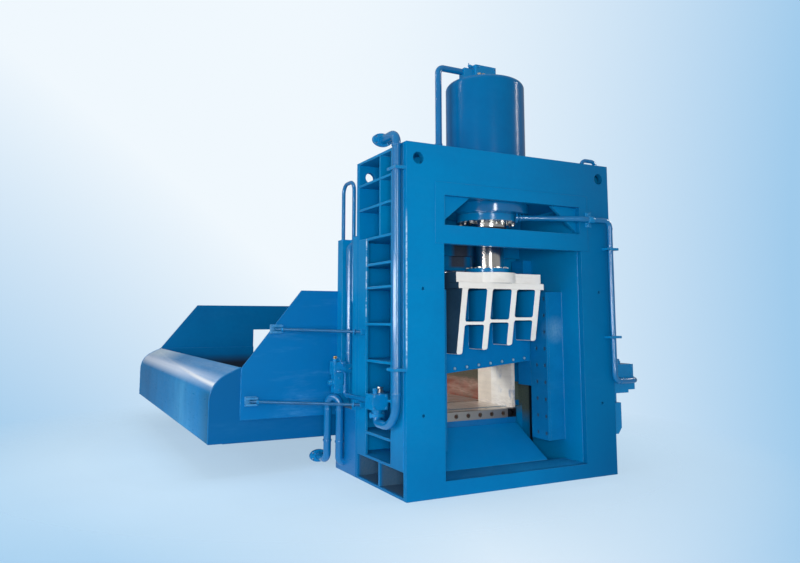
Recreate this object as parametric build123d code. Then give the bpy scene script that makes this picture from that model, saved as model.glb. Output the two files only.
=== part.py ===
"""Hydraulic box shear: a gantry frame with a top shear cylinder, a raked blade slide,
a hold-down press behind it and a long charging box with a rounded loading lip.

X runs along the front from left to right, Y runs to the rear, Z is up, in millimetres.
The origin is on the floor under the axis of the shear cylinder.
"""
import os
from math import cos, radians, sin, sqrt, tan

from build123d import *

# Gantry frame
AXIS_DEPTH = 500.0  # cylinder axis behind the front face
FRAME_HALF_W = 1200.0
FRAME_H = 3150.0
FRAME_DEPTH = 1095.0
PLATE_T = 60.0
WINDOW_HALF_W = 810.0
WINDOW_TOP = 2235.0
SLOT_Z = (2408.0, 2685.0)
SLOT_HALF_W = 803.0
SILL_Z = 137.0
SILL_DEPTH = 345.0
WEB_T = 40.0
RIB_T = 24.0
RIB_LEVELS = (248.0, 468.0, 810.0, 1150.0, 1501.0, 1852.0, 2078.0, 2335.0, 2648.0, 2900.0)
STRIP_FRONT_DEPTH = 310.0
STRIP_REAR_DEPTH = 850.0
STRIP_REAR_Z = (248.0, 2335.0)
RIB_DIVIDER_DEPTH = 549.0
LIFTING_HOLE = (1075.0, 3005.0, 55.0)  # x, z, radius
GUARD_HOLE = (1032.0, 14.0)  # x, radius
GUARD_HOLE_LEVELS = (710.0, 1820.0)
BASE_T = 40.0
BEAM_LOW_Z = (2700.0, 2760.0)
BEAM_TOP_Z = (3090.0, 3150.0)
GUSSET_LEGS = (335.0, 270.0)
GUSSET_T = 40.0

# Throat, blades and chute
THROAT_HALF_W = 600.0
CUT_DEPTH = 865.0
BED_Z = 590.0
BLADE_T = 70.0
LOWER_BLADE_Z = (500.0, 590.0)
LOWER_BLADE_END = 490.0
LOWER_BOLT_PITCH = 148.0
LOWER_BOLT_COUNT = 7
CHUTE_TOP_Z = 440.0
CHUTE_T = 25.0

# Slide guides
GUIDE_DEPTH = (320.0, 590.0)
GUIDE_Z = (325.0, 1830.0)
LINER_T = 30.0
WEAR_STRIP_T = 9.4
LINER_BOLT_DEPTHS = (360.0, 491.0)
LINER_BOLT_LOW_Z = 391.0
LINER_BOLT_PITCH = 171.0
LINER_BOLT_ROWS = 9
LINER_BOLT_R = 17.0

# Slide
SLIDE_DEPTH = (600.0, 820.0)
SLIDE_HALF_W = 795.0
SLIDE_TOP_Z = 1845.0
WING_BOTTOM_Z = 850.0
RAKE = tan(radians(5.5))
SLIDE_EDGE_Z = 1055.0  # lower edge of the plate at the middle of the blade
RIB_FOOT_Z = 1268.0  # at the middle of the blade
RIB_FOOT_RAKE = 0.136
RIB_FOOT_R = 22.0
RIB_FRONT_DEPTH = 250.0
RIB_FRONT_SLOPE = 0.19
SLIDE_RIB_X = (-427.0, -138.0, 155.0, 447.0)
SLIDE_RIB_T = 65.0
STIFFENER_Z = 1530.0
STIFFENER_T = 30.0
STIFFENER_RAKE = 0.072
CELL_CORNER_R = 24.0
CROWN_SEAT_Z = 1905.0
CROWN_PLATE_Z = 2004.0
CROWN_SEAT_X = (-502.0, 522.0)
CROWN_PLATE_X = (-506.0, 514.0)
CROWN_SETBACK = 38.0
BOSS_R = 290.0
BOSS_TOP_Z = 2010.0
UPPER_BLADE_H = 160.0
UPPER_BLADE_DROP = 6.0
UPPER_BOLT_PITCH = 143.7
UPPER_BOLT_COUNT = 8
UPPER_BOLT_SHIFT = 22.0  # of the row's middle, to the right
UPPER_BOLT_RISE = 35.0  # above the lower edge of the plate
UPPER_BOLT_SEAT = 10.0  # depth of the spot face

# Shear cylinder
BARREL_R = 410.0
BORE_R = 300.0
FLANGE_R = 432.0
FLANGE_Z = 2600.0
SHOULDER_Z = 3945.0
DOME_EDGE = (330.0, 4006.0)  # radius and level where the cone starts
DOME_Z = 4050.0
BORE_TOP_Z = 3850.0
ROD_R = 170.0
RUN_GAP = 0.3
PISTON_Z = (3160.0, 3360.0)
GLAND_R = 310.0
GLAND_Z = 2530.0
NECK_R = 230.0
NECK_Z = 2470.0
WIPER_Z = 2456.0
ROD_FLANGE_R = 225.0
ROD_FLANGE_T = 46.0
TOP_BLOCK_X = (-170.0, 93.0)
TOP_BLOCK_Y = (-88.0, 50.0)
TOP_BLOCK_Z = 4182.0
TOP_BODY_Y = (-52.0, 46.0)
TOP_PIPE_END = -285.0
TOP_PIPE_Z = 4107.0

# Hold-down press behind the gantry
PORTAL_REAR_DEPTH = 1600.0
PORTAL_SHELF_Z = 645.0
PORTAL_TOP_Z = 2400.0
PORTAL_BEAM_Z = 2080.0
CHANNEL_HALF_W = 640.0
POCKET_DEPTH = (1190.0, 1470.0)
POCKET_X = 1110.0
HOLD_DEPTH = 1355.0
HOLD_BARREL_R = 190.0
HOLD_BORE_R = 140.0
HOLD_ROD_R = 100.0
HOLD_TOP_Z = 3320.0
PLATEN_Z = (1200.0, 1500.0)
PLATEN_HALF_W = 585.0
PLATEN_DEPTH = (1140.0, 1585.0)
LINER_PLATE_T = 40.0
LINER_PLATE_Z = 1300.0

# Charging box
BOX_NEAR_DEPTH = 1600.0
BOX_FAR_DEPTH = 6925.0
CHEEK_T = 25.0
CHEEK_BOTTOM_Z = 548.0
NEAR_CHEEK = (-1605.0, 1850.0)  # top corner, x and z
FAR_CHEEK = (-1640.0, 1785.0)
LIP_X = -2530.0
LIP_BOTTOM_Z = 330.0
LIP_ARC_Z = 742.0
LIP_ARC_R = 280.0
LIP_SLOPE = 25.0
CREASE_X = -2222.0
SHEET_T = 25.0
FLOOR_HALF_W = 650.0
FLOOR_Z = 600.0
FLOOR_T = 40.0
FEED_OPENING_Z = 1362.0
RIGHT_WALL_T = 40.0
WALL_RIB_DEPTHS = (1900.0, 2780.0, 3660.0, 4540.0, 5420.0, 6300.0)
WALL_RIB_T = 20.0
WALL_RIB_REACH = 80.0
WALL_RIM_T = 25.0
DIAPHRAGM_DEPTHS = (2620.0, 3600.0, 5000.0, 6400.0)
DIAPHRAGM_T = 20.0
SLEEPER_DEPTHS = (3600.0, 6400.0)
SLEEPER_X = (-1950.0, 690.0)
SLEEPER_W = 200.0

# Oil lines
MAIN_PIPE_R = 40.0
SIDE_PIPE_R = 28.0
TOP_PIPE_R = 33.0
LOOP_PIPE_R = 20.0
ARCH_Z = (1700.0, 3000.0)
ARCH_DOWN_DEPTH = 1235.0
LOOP_X = (945.0, 1135.0)
LOOP_H = 66.0
PIPE_WALL = 8.0
PORT_FLANGE_RADII = (100.0, 64.0)  # half width and half height of the oval
PORT_FLANGE_T = 28.0
PORT_BOLT_SPACING = (126.0, 62.0)
PORT_BOLT_R = 9.0
LEFT_PORT = (-1256.0, 400.0, 3235.0)  # x, depth of the free face, z
REAR_PORT = (-1328.0, 1790.0, 105.0)
LEFT_PIPE_DEPTH = 86.0
LEFT_BLOCK_X = (-1350.0, -1200.0)
LEFT_BLOCK_DEPTH = (366.0, 530.0)
LEFT_BLOCK_Z = (732.0, 872.0)
LEFT_LEG_DEPTH = 475.0
BLOCK_FLANGE_RADII = (76.0, 60.0)
BLOCK_FLANGE_Z = (662.0, 692.0)
LEFT_CLAMP_LEVELS = (1110.0, 2905.0)
RIGHT_PIPE_X = 1165.0
RIGHT_PIPE_STANDOFF = 45.0  # axis in front of the front plate
RIGHT_PIPE_START = (165.0, -263.0, 2566.0)
RIGHT_PIPE_BEND = (800.0, 2560.0)  # x and z where it comes out of the slot
RIGHT_PIPE_Z = 925.0
RIGHT_BLOCK_X = (1200.0, 1500.0)
RIGHT_BLOCK_DEPTH = (20.0, 200.0)
RIGHT_BLOCK_Z = (805.0, 1085.0)
RIGHT_CLAMP_LEVELS = (1367.0, 2267.0)
SIDE_BOX_X = 1300.0
SIDE_BOX_DEPTH = (20.0, 160.0)
SIDE_BOX_Z = (390.0, 700.0)
REAR_BLOCK_X = (-1366.0, -1234.0)
REAR_BLOCK_DEPTH = (1265.0, 1390.0)
REAR_BLOCK_Z = (985.0, 1115.0)
REAR_FOOT_X = (-1352.0, -1258.0)
REAR_FOOT_Z = 800.0
REAR_ARM_DEPTH = (1295.0, 1405.0)
REAR_ARM_Z = (1000.0, 1090.0)
LINK_PIPE_R = 22.0
LINK_POS = (-1262.0, 788.0)  # x, z
LINK_TURN_DEPTH = 1222.0
PILOT_PIPE_R = 13.0
PILOT_TOP = (-1336.0, 1022.0)  # x, z

# Stays between the box and the gantry: box end and frame end, with the level at each
STAYS = ((-1900.0, 1447.0, 1424.0), (-2145.0, 731.0, 721.0))
STAY_FRAME_DEPTH = 905.0
STAY_R = 15.0


def back(distance):
    """Y of a plane this far behind the front face."""
    return distance - AXIS_DEPTH


def block(x, y, z):
    """Rectangular solid between a low and a high limit on each axis."""
    limits = [(min(pair), max(pair)) for pair in (x, y, z)]
    size = [high - low for low, high in limits]
    centre = [(low + high) / 2 for low, high in limits]
    return Pos(*centre) * Box(*size)


def both_sides(solid):
    """A solid and its mirror image on the other side of the machine."""
    return [solid, mirror(solid, about=Plane.YZ)]


def group(solids):
    """Separate solids that share one node."""
    return Compound(children=list(solids))


def plate_xz(points, y):
    """Plate with an outline in X and Z, between two Y limits."""
    outline = Plane.XZ.offset(-y[0]) * Polygon(*points, align=None)
    return extrude(outline, amount=y[1] - y[0], dir=(0, 1, 0))


def plate_yz(points, x):
    """Plate with an outline in Y and Z, between two X limits."""
    outline = Plane.YZ.offset(x[0]) * Polygon(*points, align=None)
    return extrude(outline, amount=x[1] - x[0], dir=(1, 0, 0))


def post(x, y, z, radius):
    """Upright cylinder between two Z limits."""
    return extrude(Plane((x, y, z[0])) * Circle(radius), z[1] - z[0])


def bar(start, end, radius):
    """Round bar between two points."""
    run = Vector(*end) - Vector(*start)
    return extrude(Plane(origin=start, z_dir=run) * Circle(radius), run.length)


def pipe(points, radius, bend):
    """Steel pipe with its bore, bent along straight runs and arcs."""
    path = FilletPolyline(*points, radius=bend)
    ring = Circle(radius) - Circle(radius - PIPE_WALL)
    return sweep(Plane(origin=path @ 0, z_dir=path % 0) * ring, path=path)


def port_flange(place):
    """Oval pipe flange with four bolt holes, its free face to the rear at place."""
    x, depth, z = place
    oval = Ellipse(*PORT_FLANGE_RADII) - Circle(MAIN_PIPE_R)
    oval -= GridLocations(*PORT_BOLT_SPACING, 2, 2) * Circle(PORT_BOLT_R)
    face = Plane(origin=(x, back(depth), z), x_dir=(1, 0, 0), z_dir=(0, 1, 0))
    return extrude(face * oval, -PORT_FLANGE_T)


def hex_bolt(plane, across_corners, height):
    """Hexagon bolt head standing on a plane."""
    return extrude(plane * RegularPolygon(across_corners, 6), height)


def rake_z(x, middle):
    """Level of a raked edge at x, from its level at the middle."""
    return middle + x * RAKE


# Gantry frame

def frame_holes():
    """Lifting holes near the top corners, as cutters through the whole depth."""
    x, z, radius = LIFTING_HOLE
    holes = []
    for side in (-x, x):
        holes.append(bar((side, back(-10), z), (side, back(FRAME_DEPTH + 10), z), radius))
    return holes


def front_plate():
    y = (back(0), back(PLATE_T))
    through = (y[0] - 1, y[1] + 1)
    plate = block((-FRAME_HALF_W, FRAME_HALF_W), y, (0, FRAME_H))
    plate -= block((-WINDOW_HALF_W, WINDOW_HALF_W), through, (SILL_Z, WINDOW_TOP))
    plate -= block((-SLOT_HALF_W, SLOT_HALF_W), through, SLOT_Z)
    plate -= frame_holes()
    x, radius = GUARD_HOLE
    for side in (-x, x):
        for z in GUARD_HOLE_LEVELS:
            plate -= bar((side, through[0], z), (side, through[1], z), radius)
    return plate


def rear_plate():
    y = (back(FRAME_DEPTH - PLATE_T), back(FRAME_DEPTH))
    through = (y[0] - 1, y[1] + 1)
    plate = block((-FRAME_HALF_W, FRAME_HALF_W), y, (0, FRAME_H))
    plate -= block((-WINDOW_HALF_W, WINDOW_HALF_W), through, (BED_Z, WINDOW_TOP))
    return plate - frame_holes()


def side_columns():
    """Inner web, level ribs and outer edge strips of each side, welded together."""
    y = (back(PLATE_T), back(FRAME_DEPTH - PLATE_T))
    web_x = (-WINDOW_HALF_W - WEB_T, -WINDOW_HALF_W)
    rib_x = (-FRAME_HALF_W, web_x[0])
    strip_x = (-FRAME_HALF_W, -FRAME_HALF_W + RIB_T)
    half = RIB_T / 2
    levels = (half, *RIB_LEVELS, FRAME_H - half)
    pieces = [block(web_x, y, (0, FRAME_H))]
    pieces += [block(rib_x, y, (z - half, z + half)) for z in levels]
    pieces.append(block(strip_x, (y[0], back(STRIP_FRONT_DEPTH)), (RIB_LEVELS[0], FRAME_H)))
    pieces.append(block(strip_x, (back(STRIP_REAR_DEPTH), y[1]), STRIP_REAR_Z))
    divider_y = (back(RIB_DIVIDER_DEPTH) - half, back(RIB_DIVIDER_DEPTH) + half)
    pieces.append(block(rib_x, divider_y, (0, RIB_LEVELS[0])))
    pieces.append(block(rib_x, divider_y, (STRIP_REAR_Z[1], FRAME_H)))
    return group(both_sides(pieces[0] + pieces[1:]))


def top_beam():
    """Seat plate under the cylinder flange line, top plate and two cross webs."""
    x = (-WINDOW_HALF_W, WINDOW_HALF_W)
    y = (back(PLATE_T), back(FRAME_DEPTH - PLATE_T))
    beam = block(x, y, BEAM_LOW_Z) + block(x, y, BEAM_TOP_Z)
    for side in (-1, 1):
        web_x = (side * (BARREL_R + 60), side * (BARREL_R + 60 + WEB_T))
        beam += block(web_x, y, (BEAM_LOW_Z[1], BEAM_TOP_Z[0]))
    return beam - post(0, 0, (BEAM_LOW_Z[0] - 1, BEAM_TOP_Z[1] + 1), BARREL_R)


def corner_gussets():
    """Triangular plates in the upper corners behind the front and rear plates."""
    long_leg, short_leg = GUSSET_LEGS
    corner = (-WINDOW_HALF_W, BEAM_LOW_Z[0])
    outline = (corner, (corner[0] + long_leg, corner[1]), (corner[0], corner[1] - short_leg))
    solids = []
    for near in (PLATE_T, FRAME_DEPTH - PLATE_T - GUSSET_T):
        solids += both_sides(plate_xz(outline, (back(near), back(near + GUSSET_T))))
    return group(solids)


def base_plate():
    """Bottom plate between the columns with the front sill welded on it."""
    x = (-WINDOW_HALF_W, WINDOW_HALF_W)
    plate = block(x, (back(PLATE_T), back(FRAME_DEPTH - PLATE_T)), (0, BASE_T))
    sill_y = (back(PLATE_T), back(SILL_DEPTH))
    plate += block(x, sill_y, (SILL_Z - BASE_T, SILL_Z))
    for rib_x in (-WINDOW_HALF_W, -RIB_T / 2, WINDOW_HALF_W - RIB_T):
        plate += block((rib_x, rib_x + RIB_T), sill_y, (BASE_T, SILL_Z - BASE_T))
    return plate


# Throat, blades and chute

def anvil():
    """Seat of the lower blade, standing on the base plate."""
    x = (-THROAT_HALF_W, THROAT_HALF_W)
    seat = block(x, (back(CUT_DEPTH), back(FRAME_DEPTH - PLATE_T)), (BASE_T, BED_Z))
    blade_y = (back(CUT_DEPTH) - 1, back(CUT_DEPTH + BLADE_T))
    return seat - block((x[0] - 1, x[1] + 1), blade_y, LOWER_BLADE_Z)


def lower_bolt_places():
    """X of each bolt of the lower blade."""
    first = LOWER_BLADE_END - 60 - LOWER_BOLT_PITCH * (LOWER_BOLT_COUNT - 1)
    return [first + LOWER_BOLT_PITCH * i for i in range(LOWER_BOLT_COUNT)]


def lower_blade():
    y = back(CUT_DEPTH)
    blade = block((-THROAT_HALF_W, LOWER_BLADE_END), (y, y + BLADE_T), LOWER_BLADE_Z)
    middle = sum(LOWER_BLADE_Z) / 2
    for x in lower_bolt_places():
        blade -= bar((x, y - 1, middle), (x, y + 30, middle), 24)
    return blade


def lower_blade_bolts():
    """Sunk hexagon bolts that clamp the lower blade to the anvil."""
    y = back(CUT_DEPTH) + 30
    middle = sum(LOWER_BLADE_Z) / 2
    return group(hex_bolt(Plane((x, y, middle), z_dir=(0, -1, 0)), 19, 16) for x in lower_bolt_places())


def lower_blade_stop():
    """End block beside the lower blade, with its lifting eye hole."""
    y = back(CUT_DEPTH)
    stop = block((LOWER_BLADE_END, THROAT_HALF_W), (y, y + BLADE_T), LOWER_BLADE_Z)
    x = (LOWER_BLADE_END + THROAT_HALF_W) / 2
    z = sum(LOWER_BLADE_Z) / 2
    return stop - bar((x, y - 1, z), (x, y + 40, z), 26)


def discharge_chute():
    """Sloping plate from under the lower blade to the sill, on two side webs."""
    low = (back(SILL_DEPTH), SILL_Z)
    high = (back(CUT_DEPTH), CHUTE_TOP_Z)
    slope = (high[1] - low[1]) / (high[0] - low[0])
    under = CHUTE_T * sqrt(1 + slope * slope)
    toe = low[0] + under / slope
    x = (-THROAT_HALF_W + 2, THROAT_HALF_W - 2)
    chute = plate_yz((low, high, (high[0], high[1] - under), (toe, low[1])), x)
    web = ((toe, low[1]), (high[0], high[1] - under), (high[0], BASE_T), (toe, BASE_T))
    for side in (x[0], x[1] - CHUTE_T):
        chute += plate_yz(web, (side, side + CHUTE_T))
    return chute


# Slide guides

def guide_blocks():
    """Upright blocks on the inner webs, one on each side of the throat."""
    y = [back(d) for d in GUIDE_DEPTH]
    return group(both_sides(block((THROAT_HALF_W + LINER_T, WINDOW_HALF_W), y, GUIDE_Z)))


def liner_bolt_places():
    """Y and Z of each bolt of a guide liner."""
    levels = [LINER_BOLT_LOW_Z + LINER_BOLT_PITCH * i for i in range(LINER_BOLT_ROWS)]
    return [(back(d), z) for d in LINER_BOLT_DEPTHS for z in levels]


def guide_liners():
    """Side liners of the throat, with a sunk seat for each bolt."""
    x = (THROAT_HALF_W, THROAT_HALF_W + LINER_T)
    liner = block(x, [back(d) for d in GUIDE_DEPTH], GUIDE_Z)
    for y, z in liner_bolt_places():
        liner -= bar((x[0] - 1, y, z), (x[0] + 18, y, z), LINER_BOLT_R + 3)
    return group(both_sides(liner))


def guide_liner_bolts():
    """Socket screws of both liners, their heads just below the surface."""
    solids = []
    for y, z in liner_bolt_places():
        seat = Plane((THROAT_HALF_W + 18, y, z), z_dir=(-1, 0, 0))
        head = extrude(seat * Circle(LINER_BOLT_R), 14)
        head -= extrude(seat.offset(6) * RegularPolygon(8, 6), 10)
        solids += both_sides(head)
    return group(solids)


def guide_wear_strips():
    """Bronze strips on the rear faces of the guide blocks."""
    y = back(GUIDE_DEPTH[1])
    strip = block((THROAT_HALF_W + LINER_T, SLIDE_HALF_W - 5), (y, y + WEAR_STRIP_T), GUIDE_Z)
    return group(both_sides(strip))


def rear_guide_bars():
    """Bars on the rear plate that keep the slide wings against the wear strips."""
    y = (back(SLIDE_DEPTH[1]) + 0.6, back(FRAME_DEPTH - PLATE_T))
    return group(both_sides(block((THROAT_HALF_W + 100, WINDOW_HALF_W), y, (860, 2200))))


# Slide

def slide_plate():
    """Thick guided plate with two wings and a raked lower edge that holds the blade."""
    y = [back(d) for d in SLIDE_DEPTH]
    throat = THROAT_HALF_W + 5
    bottom = SLIDE_EDGE_Z
    shoulder = SLIDE_TOP_Z - 200
    outline = [(-SLIDE_HALF_W, WING_BOTTOM_Z), (-throat, WING_BOTTOM_Z), (-throat, rake_z(-throat, bottom))]
    outline += [(throat, rake_z(throat, bottom)), (throat, WING_BOTTOM_Z), (SLIDE_HALF_W, WING_BOTTOM_Z)]
    outline += [(SLIDE_HALF_W, shoulder), (CROWN_SEAT_X[1], SLIDE_TOP_Z)]
    outline += [(CROWN_SEAT_X[0], SLIDE_TOP_Z), (-SLIDE_HALF_W, shoulder)]
    plate = plate_xz(outline, y) - upper_blade()
    for seat in upper_bolt_seats():
        plate -= extrude(seat * Circle(18), 2 * UPPER_BOLT_SEAT)
    return plate


def rib_foot(x):
    """Level of the ribs' feet at x, which is raked more than the blade."""
    return RIB_FOOT_Z + x * RIB_FOOT_RAKE


def rib_front(z):
    """Y of the sloping front edge of the slide ribs at a level."""
    return back(RIB_FRONT_DEPTH) + (SLIDE_TOP_Z - z) * RIB_FRONT_SLOPE


def upper_blade():
    """Raked blade bar behind the lower edge of the slide, its rear face on the cut plane."""
    y = back(CUT_DEPTH) - 2
    x = THROAT_HALF_W - 2
    low = SLIDE_EDGE_Z - UPPER_BLADE_DROP
    high = low + UPPER_BLADE_H
    outline = ((-x, rake_z(-x, low)), (x, rake_z(x, low)), (x, rake_z(x, high)), (-x, rake_z(-x, high)))
    return plate_xz(outline, (y - BLADE_T, y))


def upper_bolt_seats():
    """Seat plane of each blade bolt, spot-faced into the front of the plate above its lower edge."""
    seats = []
    for i in range(UPPER_BOLT_COUNT):
        x = UPPER_BOLT_SHIFT + UPPER_BOLT_PITCH * (i - (UPPER_BOLT_COUNT - 1) / 2)
        z = rake_z(x, SLIDE_EDGE_Z) + UPPER_BOLT_RISE
        seats.append(Plane((x, back(SLIDE_DEPTH[0]) + UPPER_BOLT_SEAT, z), z_dir=(0, -1, 0)))
    return seats


def upper_blade_bolts():
    return group(hex_bolt(seat, 16, 9) for seat in upper_bolt_seats())


def rib_cells():
    """Outlines in X and Z of the cells between the ribs, above each stiffener and open below it."""
    half = SLIDE_RIB_T / 2
    cells = []
    for x, next_x in zip(SLIDE_RIB_X, SLIDE_RIB_X[1:]):
        left, right = x + half, next_x - half
        z = STIFFENER_Z + (x + next_x) / 2 * STIFFENER_RAKE
        low, high = z - STIFFENER_T / 2, z + STIFFENER_T / 2
        cells.append(((left, high), (right, high), (right, SLIDE_TOP_Z), (left, SLIDE_TOP_Z)))
        cells.append(((left, WING_BOTTOM_Z), (right, WING_BOTTOM_Z), (right, low), (left, low)))
    return cells


def slide_ribs():
    """Four upright ribs with free rounded feet, and the short level stiffeners between them."""
    ends = (SLIDE_RIB_X[0] - SLIDE_RIB_T / 2, SLIDE_RIB_X[-1] + SLIDE_RIB_T / 2)
    feet = [(x, rib_foot(x)) for x in ends]
    grid = Polygon(*feet, (ends[1], SLIDE_TOP_Z), (ends[0], SLIDE_TOP_Z), align=None)
    for cell in rib_cells():
        opening = Polygon(*cell, align=None)
        grid -= fillet(opening.vertices(), CELL_CORNER_R)
    corners = grid.vertices().filter_by(lambda corner: corner.Y < rib_foot(corner.X) + 1)
    grid = fillet(corners, RIB_FOOT_R)
    front, rear = rib_front(SLIDE_TOP_Z), back(SLIDE_DEPTH[0])
    solid = extrude(Plane.XZ.offset(-front) * grid, amount=rear - front, dir=(0, 1, 0))
    floor_z, roof_z = feet[0][1] - 5, SLIDE_TOP_Z + 5
    slope = ((rib_front(floor_z), floor_z), (rib_front(roof_z), roof_z))
    wedge = ((front - 5, floor_z), *slope, (front - 5, roof_z))
    return solid - plate_yz(wedge, (ends[0] - 1, ends[1] + 1))


def slide_crown():
    """Two stepped top plates with the round rod boss."""
    y = (back(RIB_FRONT_DEPTH), back(SLIDE_DEPTH[1]))
    crown = block(CROWN_SEAT_X, y, (SLIDE_TOP_Z, CROWN_SEAT_Z))
    crown += block(CROWN_PLATE_X, (y[0] + CROWN_SETBACK, y[1]), (CROWN_SEAT_Z, CROWN_PLATE_Z))
    crown += post(0, 0, (CROWN_SEAT_Z, BOSS_TOP_Z), BOSS_R)
    return crown - post(0, 0, (CROWN_SEAT_Z, BOSS_TOP_Z + 1), ROD_R)


def rod_flange():
    """Clamp ring that holds the rod in the boss."""
    ring = post(0, 0, (BOSS_TOP_Z, BOSS_TOP_Z + ROD_FLANGE_T), ROD_FLANGE_R)
    return ring - post(0, 0, (BOSS_TOP_Z - 1, BOSS_TOP_Z + ROD_FLANGE_T + 1), ROD_R)


def rod_flange_bolts():
    seat = Plane((0, 0, BOSS_TOP_Z + ROD_FLANGE_T))
    return group(hex_bolt(seat * spot, 19, 17) for spot in PolarLocations((ROD_R + ROD_FLANGE_R) / 2, 12))


def piston_rod():
    return post(0, 0, (CROWN_SEAT_Z, PISTON_Z[0]), ROD_R)


def piston():
    """Piston head with two ring grooves."""
    head = post(0, 0, PISTON_Z, BORE_R - RUN_GAP)
    for z in (PISTON_Z[0] + 50, PISTON_Z[1] - 70):
        head -= post(0, 0, (z, z + 20), BORE_R + 1) - post(0, 0, (z, z + 20), BORE_R - 14)
    return head


# Shear cylinder

def cylinder_barrel():
    """Barrel with a seat flange below the beam and a domed closed top."""
    outline = [Line((0, DOME_Z), (190, DOME_Z)), Line((190, DOME_Z), DOME_EDGE)]
    middle = (BARREL_R - 0.3 * (BARREL_R - DOME_EDGE[0]), SHOULDER_Z + 0.68 * (DOME_EDGE[1] - SHOULDER_Z))
    outline.append(ThreePointArc(DOME_EDGE, middle, (BARREL_R, SHOULDER_Z)))
    corners = [(BARREL_R, SHOULDER_Z), (BARREL_R, BEAM_LOW_Z[0])]
    corners += [(FLANGE_R, BEAM_LOW_Z[0]), (FLANGE_R, FLANGE_Z)]
    corners += [(BORE_R, FLANGE_Z), (BORE_R, BORE_TOP_Z), (0, BORE_TOP_Z), (0, DOME_Z)]
    outline.append(Polyline(*corners))
    return revolve(Plane.XZ * make_face(outline), Axis.Z)


def cylinder_gland():
    """Bolted gland flange with its neck round the rod."""
    gland = post(0, 0, (GLAND_Z, FLANGE_Z), GLAND_R) + post(0, 0, (NECK_Z, GLAND_Z), NECK_R)
    gland -= post(0, 0, (NECK_Z - 1, FLANGE_Z + 1), ROD_R + RUN_GAP)
    bend_x, level = RIGHT_PIPE_BEND
    return gland - bar(RIGHT_PIPE_START, (bend_x, back(-RIGHT_PIPE_STANDOFF), level), SIDE_PIPE_R)


def gland_bolts():
    seat = Plane((0, 0, GLAND_Z), z_dir=(0, 0, -1))
    return group(hex_bolt(seat * spot, 26, 24) for spot in PolarLocations((GLAND_R + NECK_R) / 2, 16))


def rod_wiper():
    """Wiper ring under the gland neck."""
    ring = post(0, 0, (WIPER_Z, NECK_Z), ROD_R + 32)
    return ring - post(0, 0, (WIPER_Z - 1, NECK_Z + 1), ROD_R + RUN_GAP)


def top_valve_block():
    """Filling valve block on the dome, with the body that takes the filling line on its left."""
    solid = block(TOP_BLOCK_X, TOP_BLOCK_Y, (DOME_Z + 20, TOP_BLOCK_Z))
    solid = chamfer(solid.edges().filter_by(Axis.Z), 10)
    solid += post(-38, -19, (DOME_Z, DOME_Z + 20), 60)
    body = block((TOP_PIPE_END, TOP_BLOCK_X[0]), TOP_BODY_Y, (DOME_EDGE[1], TOP_PIPE_Z + TOP_PIPE_R + 4))
    solid += chamfer(body.edges().group_by(Axis.Z)[-1], 8) - cylinder_barrel()
    fitting = (TOP_BLOCK_X[0], TOP_BLOCK_Y[0] + 40, TOP_BLOCK_Z - 16)
    return solid + bar(fitting, (fitting[0] - 34, fitting[1], fitting[2]), 13)


# Hold-down press

def rear_bed():
    """Hollow bed behind the gantry, with the feed channel cut into its top."""
    y = (back(FRAME_DEPTH), back(PORTAL_REAR_DEPTH))
    bed = block((-FRAME_HALF_W, FRAME_HALF_W), y, (0, PORTAL_SHELF_Z))
    bed -= block((-CHANNEL_HALF_W, CHANNEL_HALF_W), (y[0] - 1, y[1] + 1), (BED_Z, PORTAL_SHELF_Z + 1))
    inner = FRAME_HALF_W - 50
    return bed - block((-inner, inner), (y[0] + 50, y[1] - 50), (-1, BED_Z - 60))


def portal_columns():
    """Hollow columns of the hold-down portal, with outer pockets for the riser pipe."""
    y = (back(FRAME_DEPTH), back(PORTAL_REAR_DEPTH))
    column = block((-FRAME_HALF_W, -CHANNEL_HALF_W), y, (PORTAL_SHELF_Z, PORTAL_TOP_Z))
    pocket_y = [back(d) for d in POCKET_DEPTH]
    column -= block((-FRAME_HALF_W - 1, -POCKET_X), pocket_y, (PORTAL_SHELF_Z - 1, PORTAL_TOP_Z + 1))
    hollow = (-POCKET_X + 40, -CHANNEL_HALF_W - 40)
    column -= block(hollow, (y[0] + 40, y[1] - 40), (PORTAL_SHELF_Z - 1, PORTAL_TOP_Z - 40))
    return group(both_sides(column))


def portal_beam():
    """Cross beam between the portal columns, bored for the hold-down rod bush."""
    y = (back(FRAME_DEPTH), back(PORTAL_REAR_DEPTH))
    beam = block((-CHANNEL_HALF_W, CHANNEL_HALF_W), y, (PORTAL_BEAM_Z, PORTAL_TOP_Z))
    for side in (-1, 1):
        pocket = (side * (HOLD_BARREL_R + 30), side * (CHANNEL_HALF_W - 40))
        beam -= block(pocket, (y[0] + 40, y[1] - 40), (PORTAL_BEAM_Z - 1, PORTAL_TOP_Z - 60))
    return beam - post(0, back(HOLD_DEPTH), (PORTAL_BEAM_Z - 1, PORTAL_TOP_Z + 1), HOLD_ROD_R + 30)


def hold_down_bush():
    y = back(HOLD_DEPTH)
    bush = post(0, y, (PORTAL_BEAM_Z, PORTAL_TOP_Z), HOLD_ROD_R + 30)
    return bush - post(0, y, (PORTAL_BEAM_Z - 1, PORTAL_TOP_Z + 1), HOLD_ROD_R + RUN_GAP)


def hold_down_barrel():
    """Closed barrel on a foot flange, standing on the portal beam."""
    y = back(HOLD_DEPTH)
    barrel = post(0, y, (PORTAL_TOP_Z, HOLD_TOP_Z), HOLD_BARREL_R)
    barrel += post(0, y, (PORTAL_TOP_Z, PORTAL_TOP_Z + 45), HOLD_BARREL_R + 62)
    barrel -= post(0, y, (PORTAL_TOP_Z - 1, PORTAL_TOP_Z + 45), HOLD_ROD_R + 2)
    return barrel - post(0, y, (PORTAL_TOP_Z + 45, HOLD_TOP_Z - 30), HOLD_BORE_R)


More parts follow.
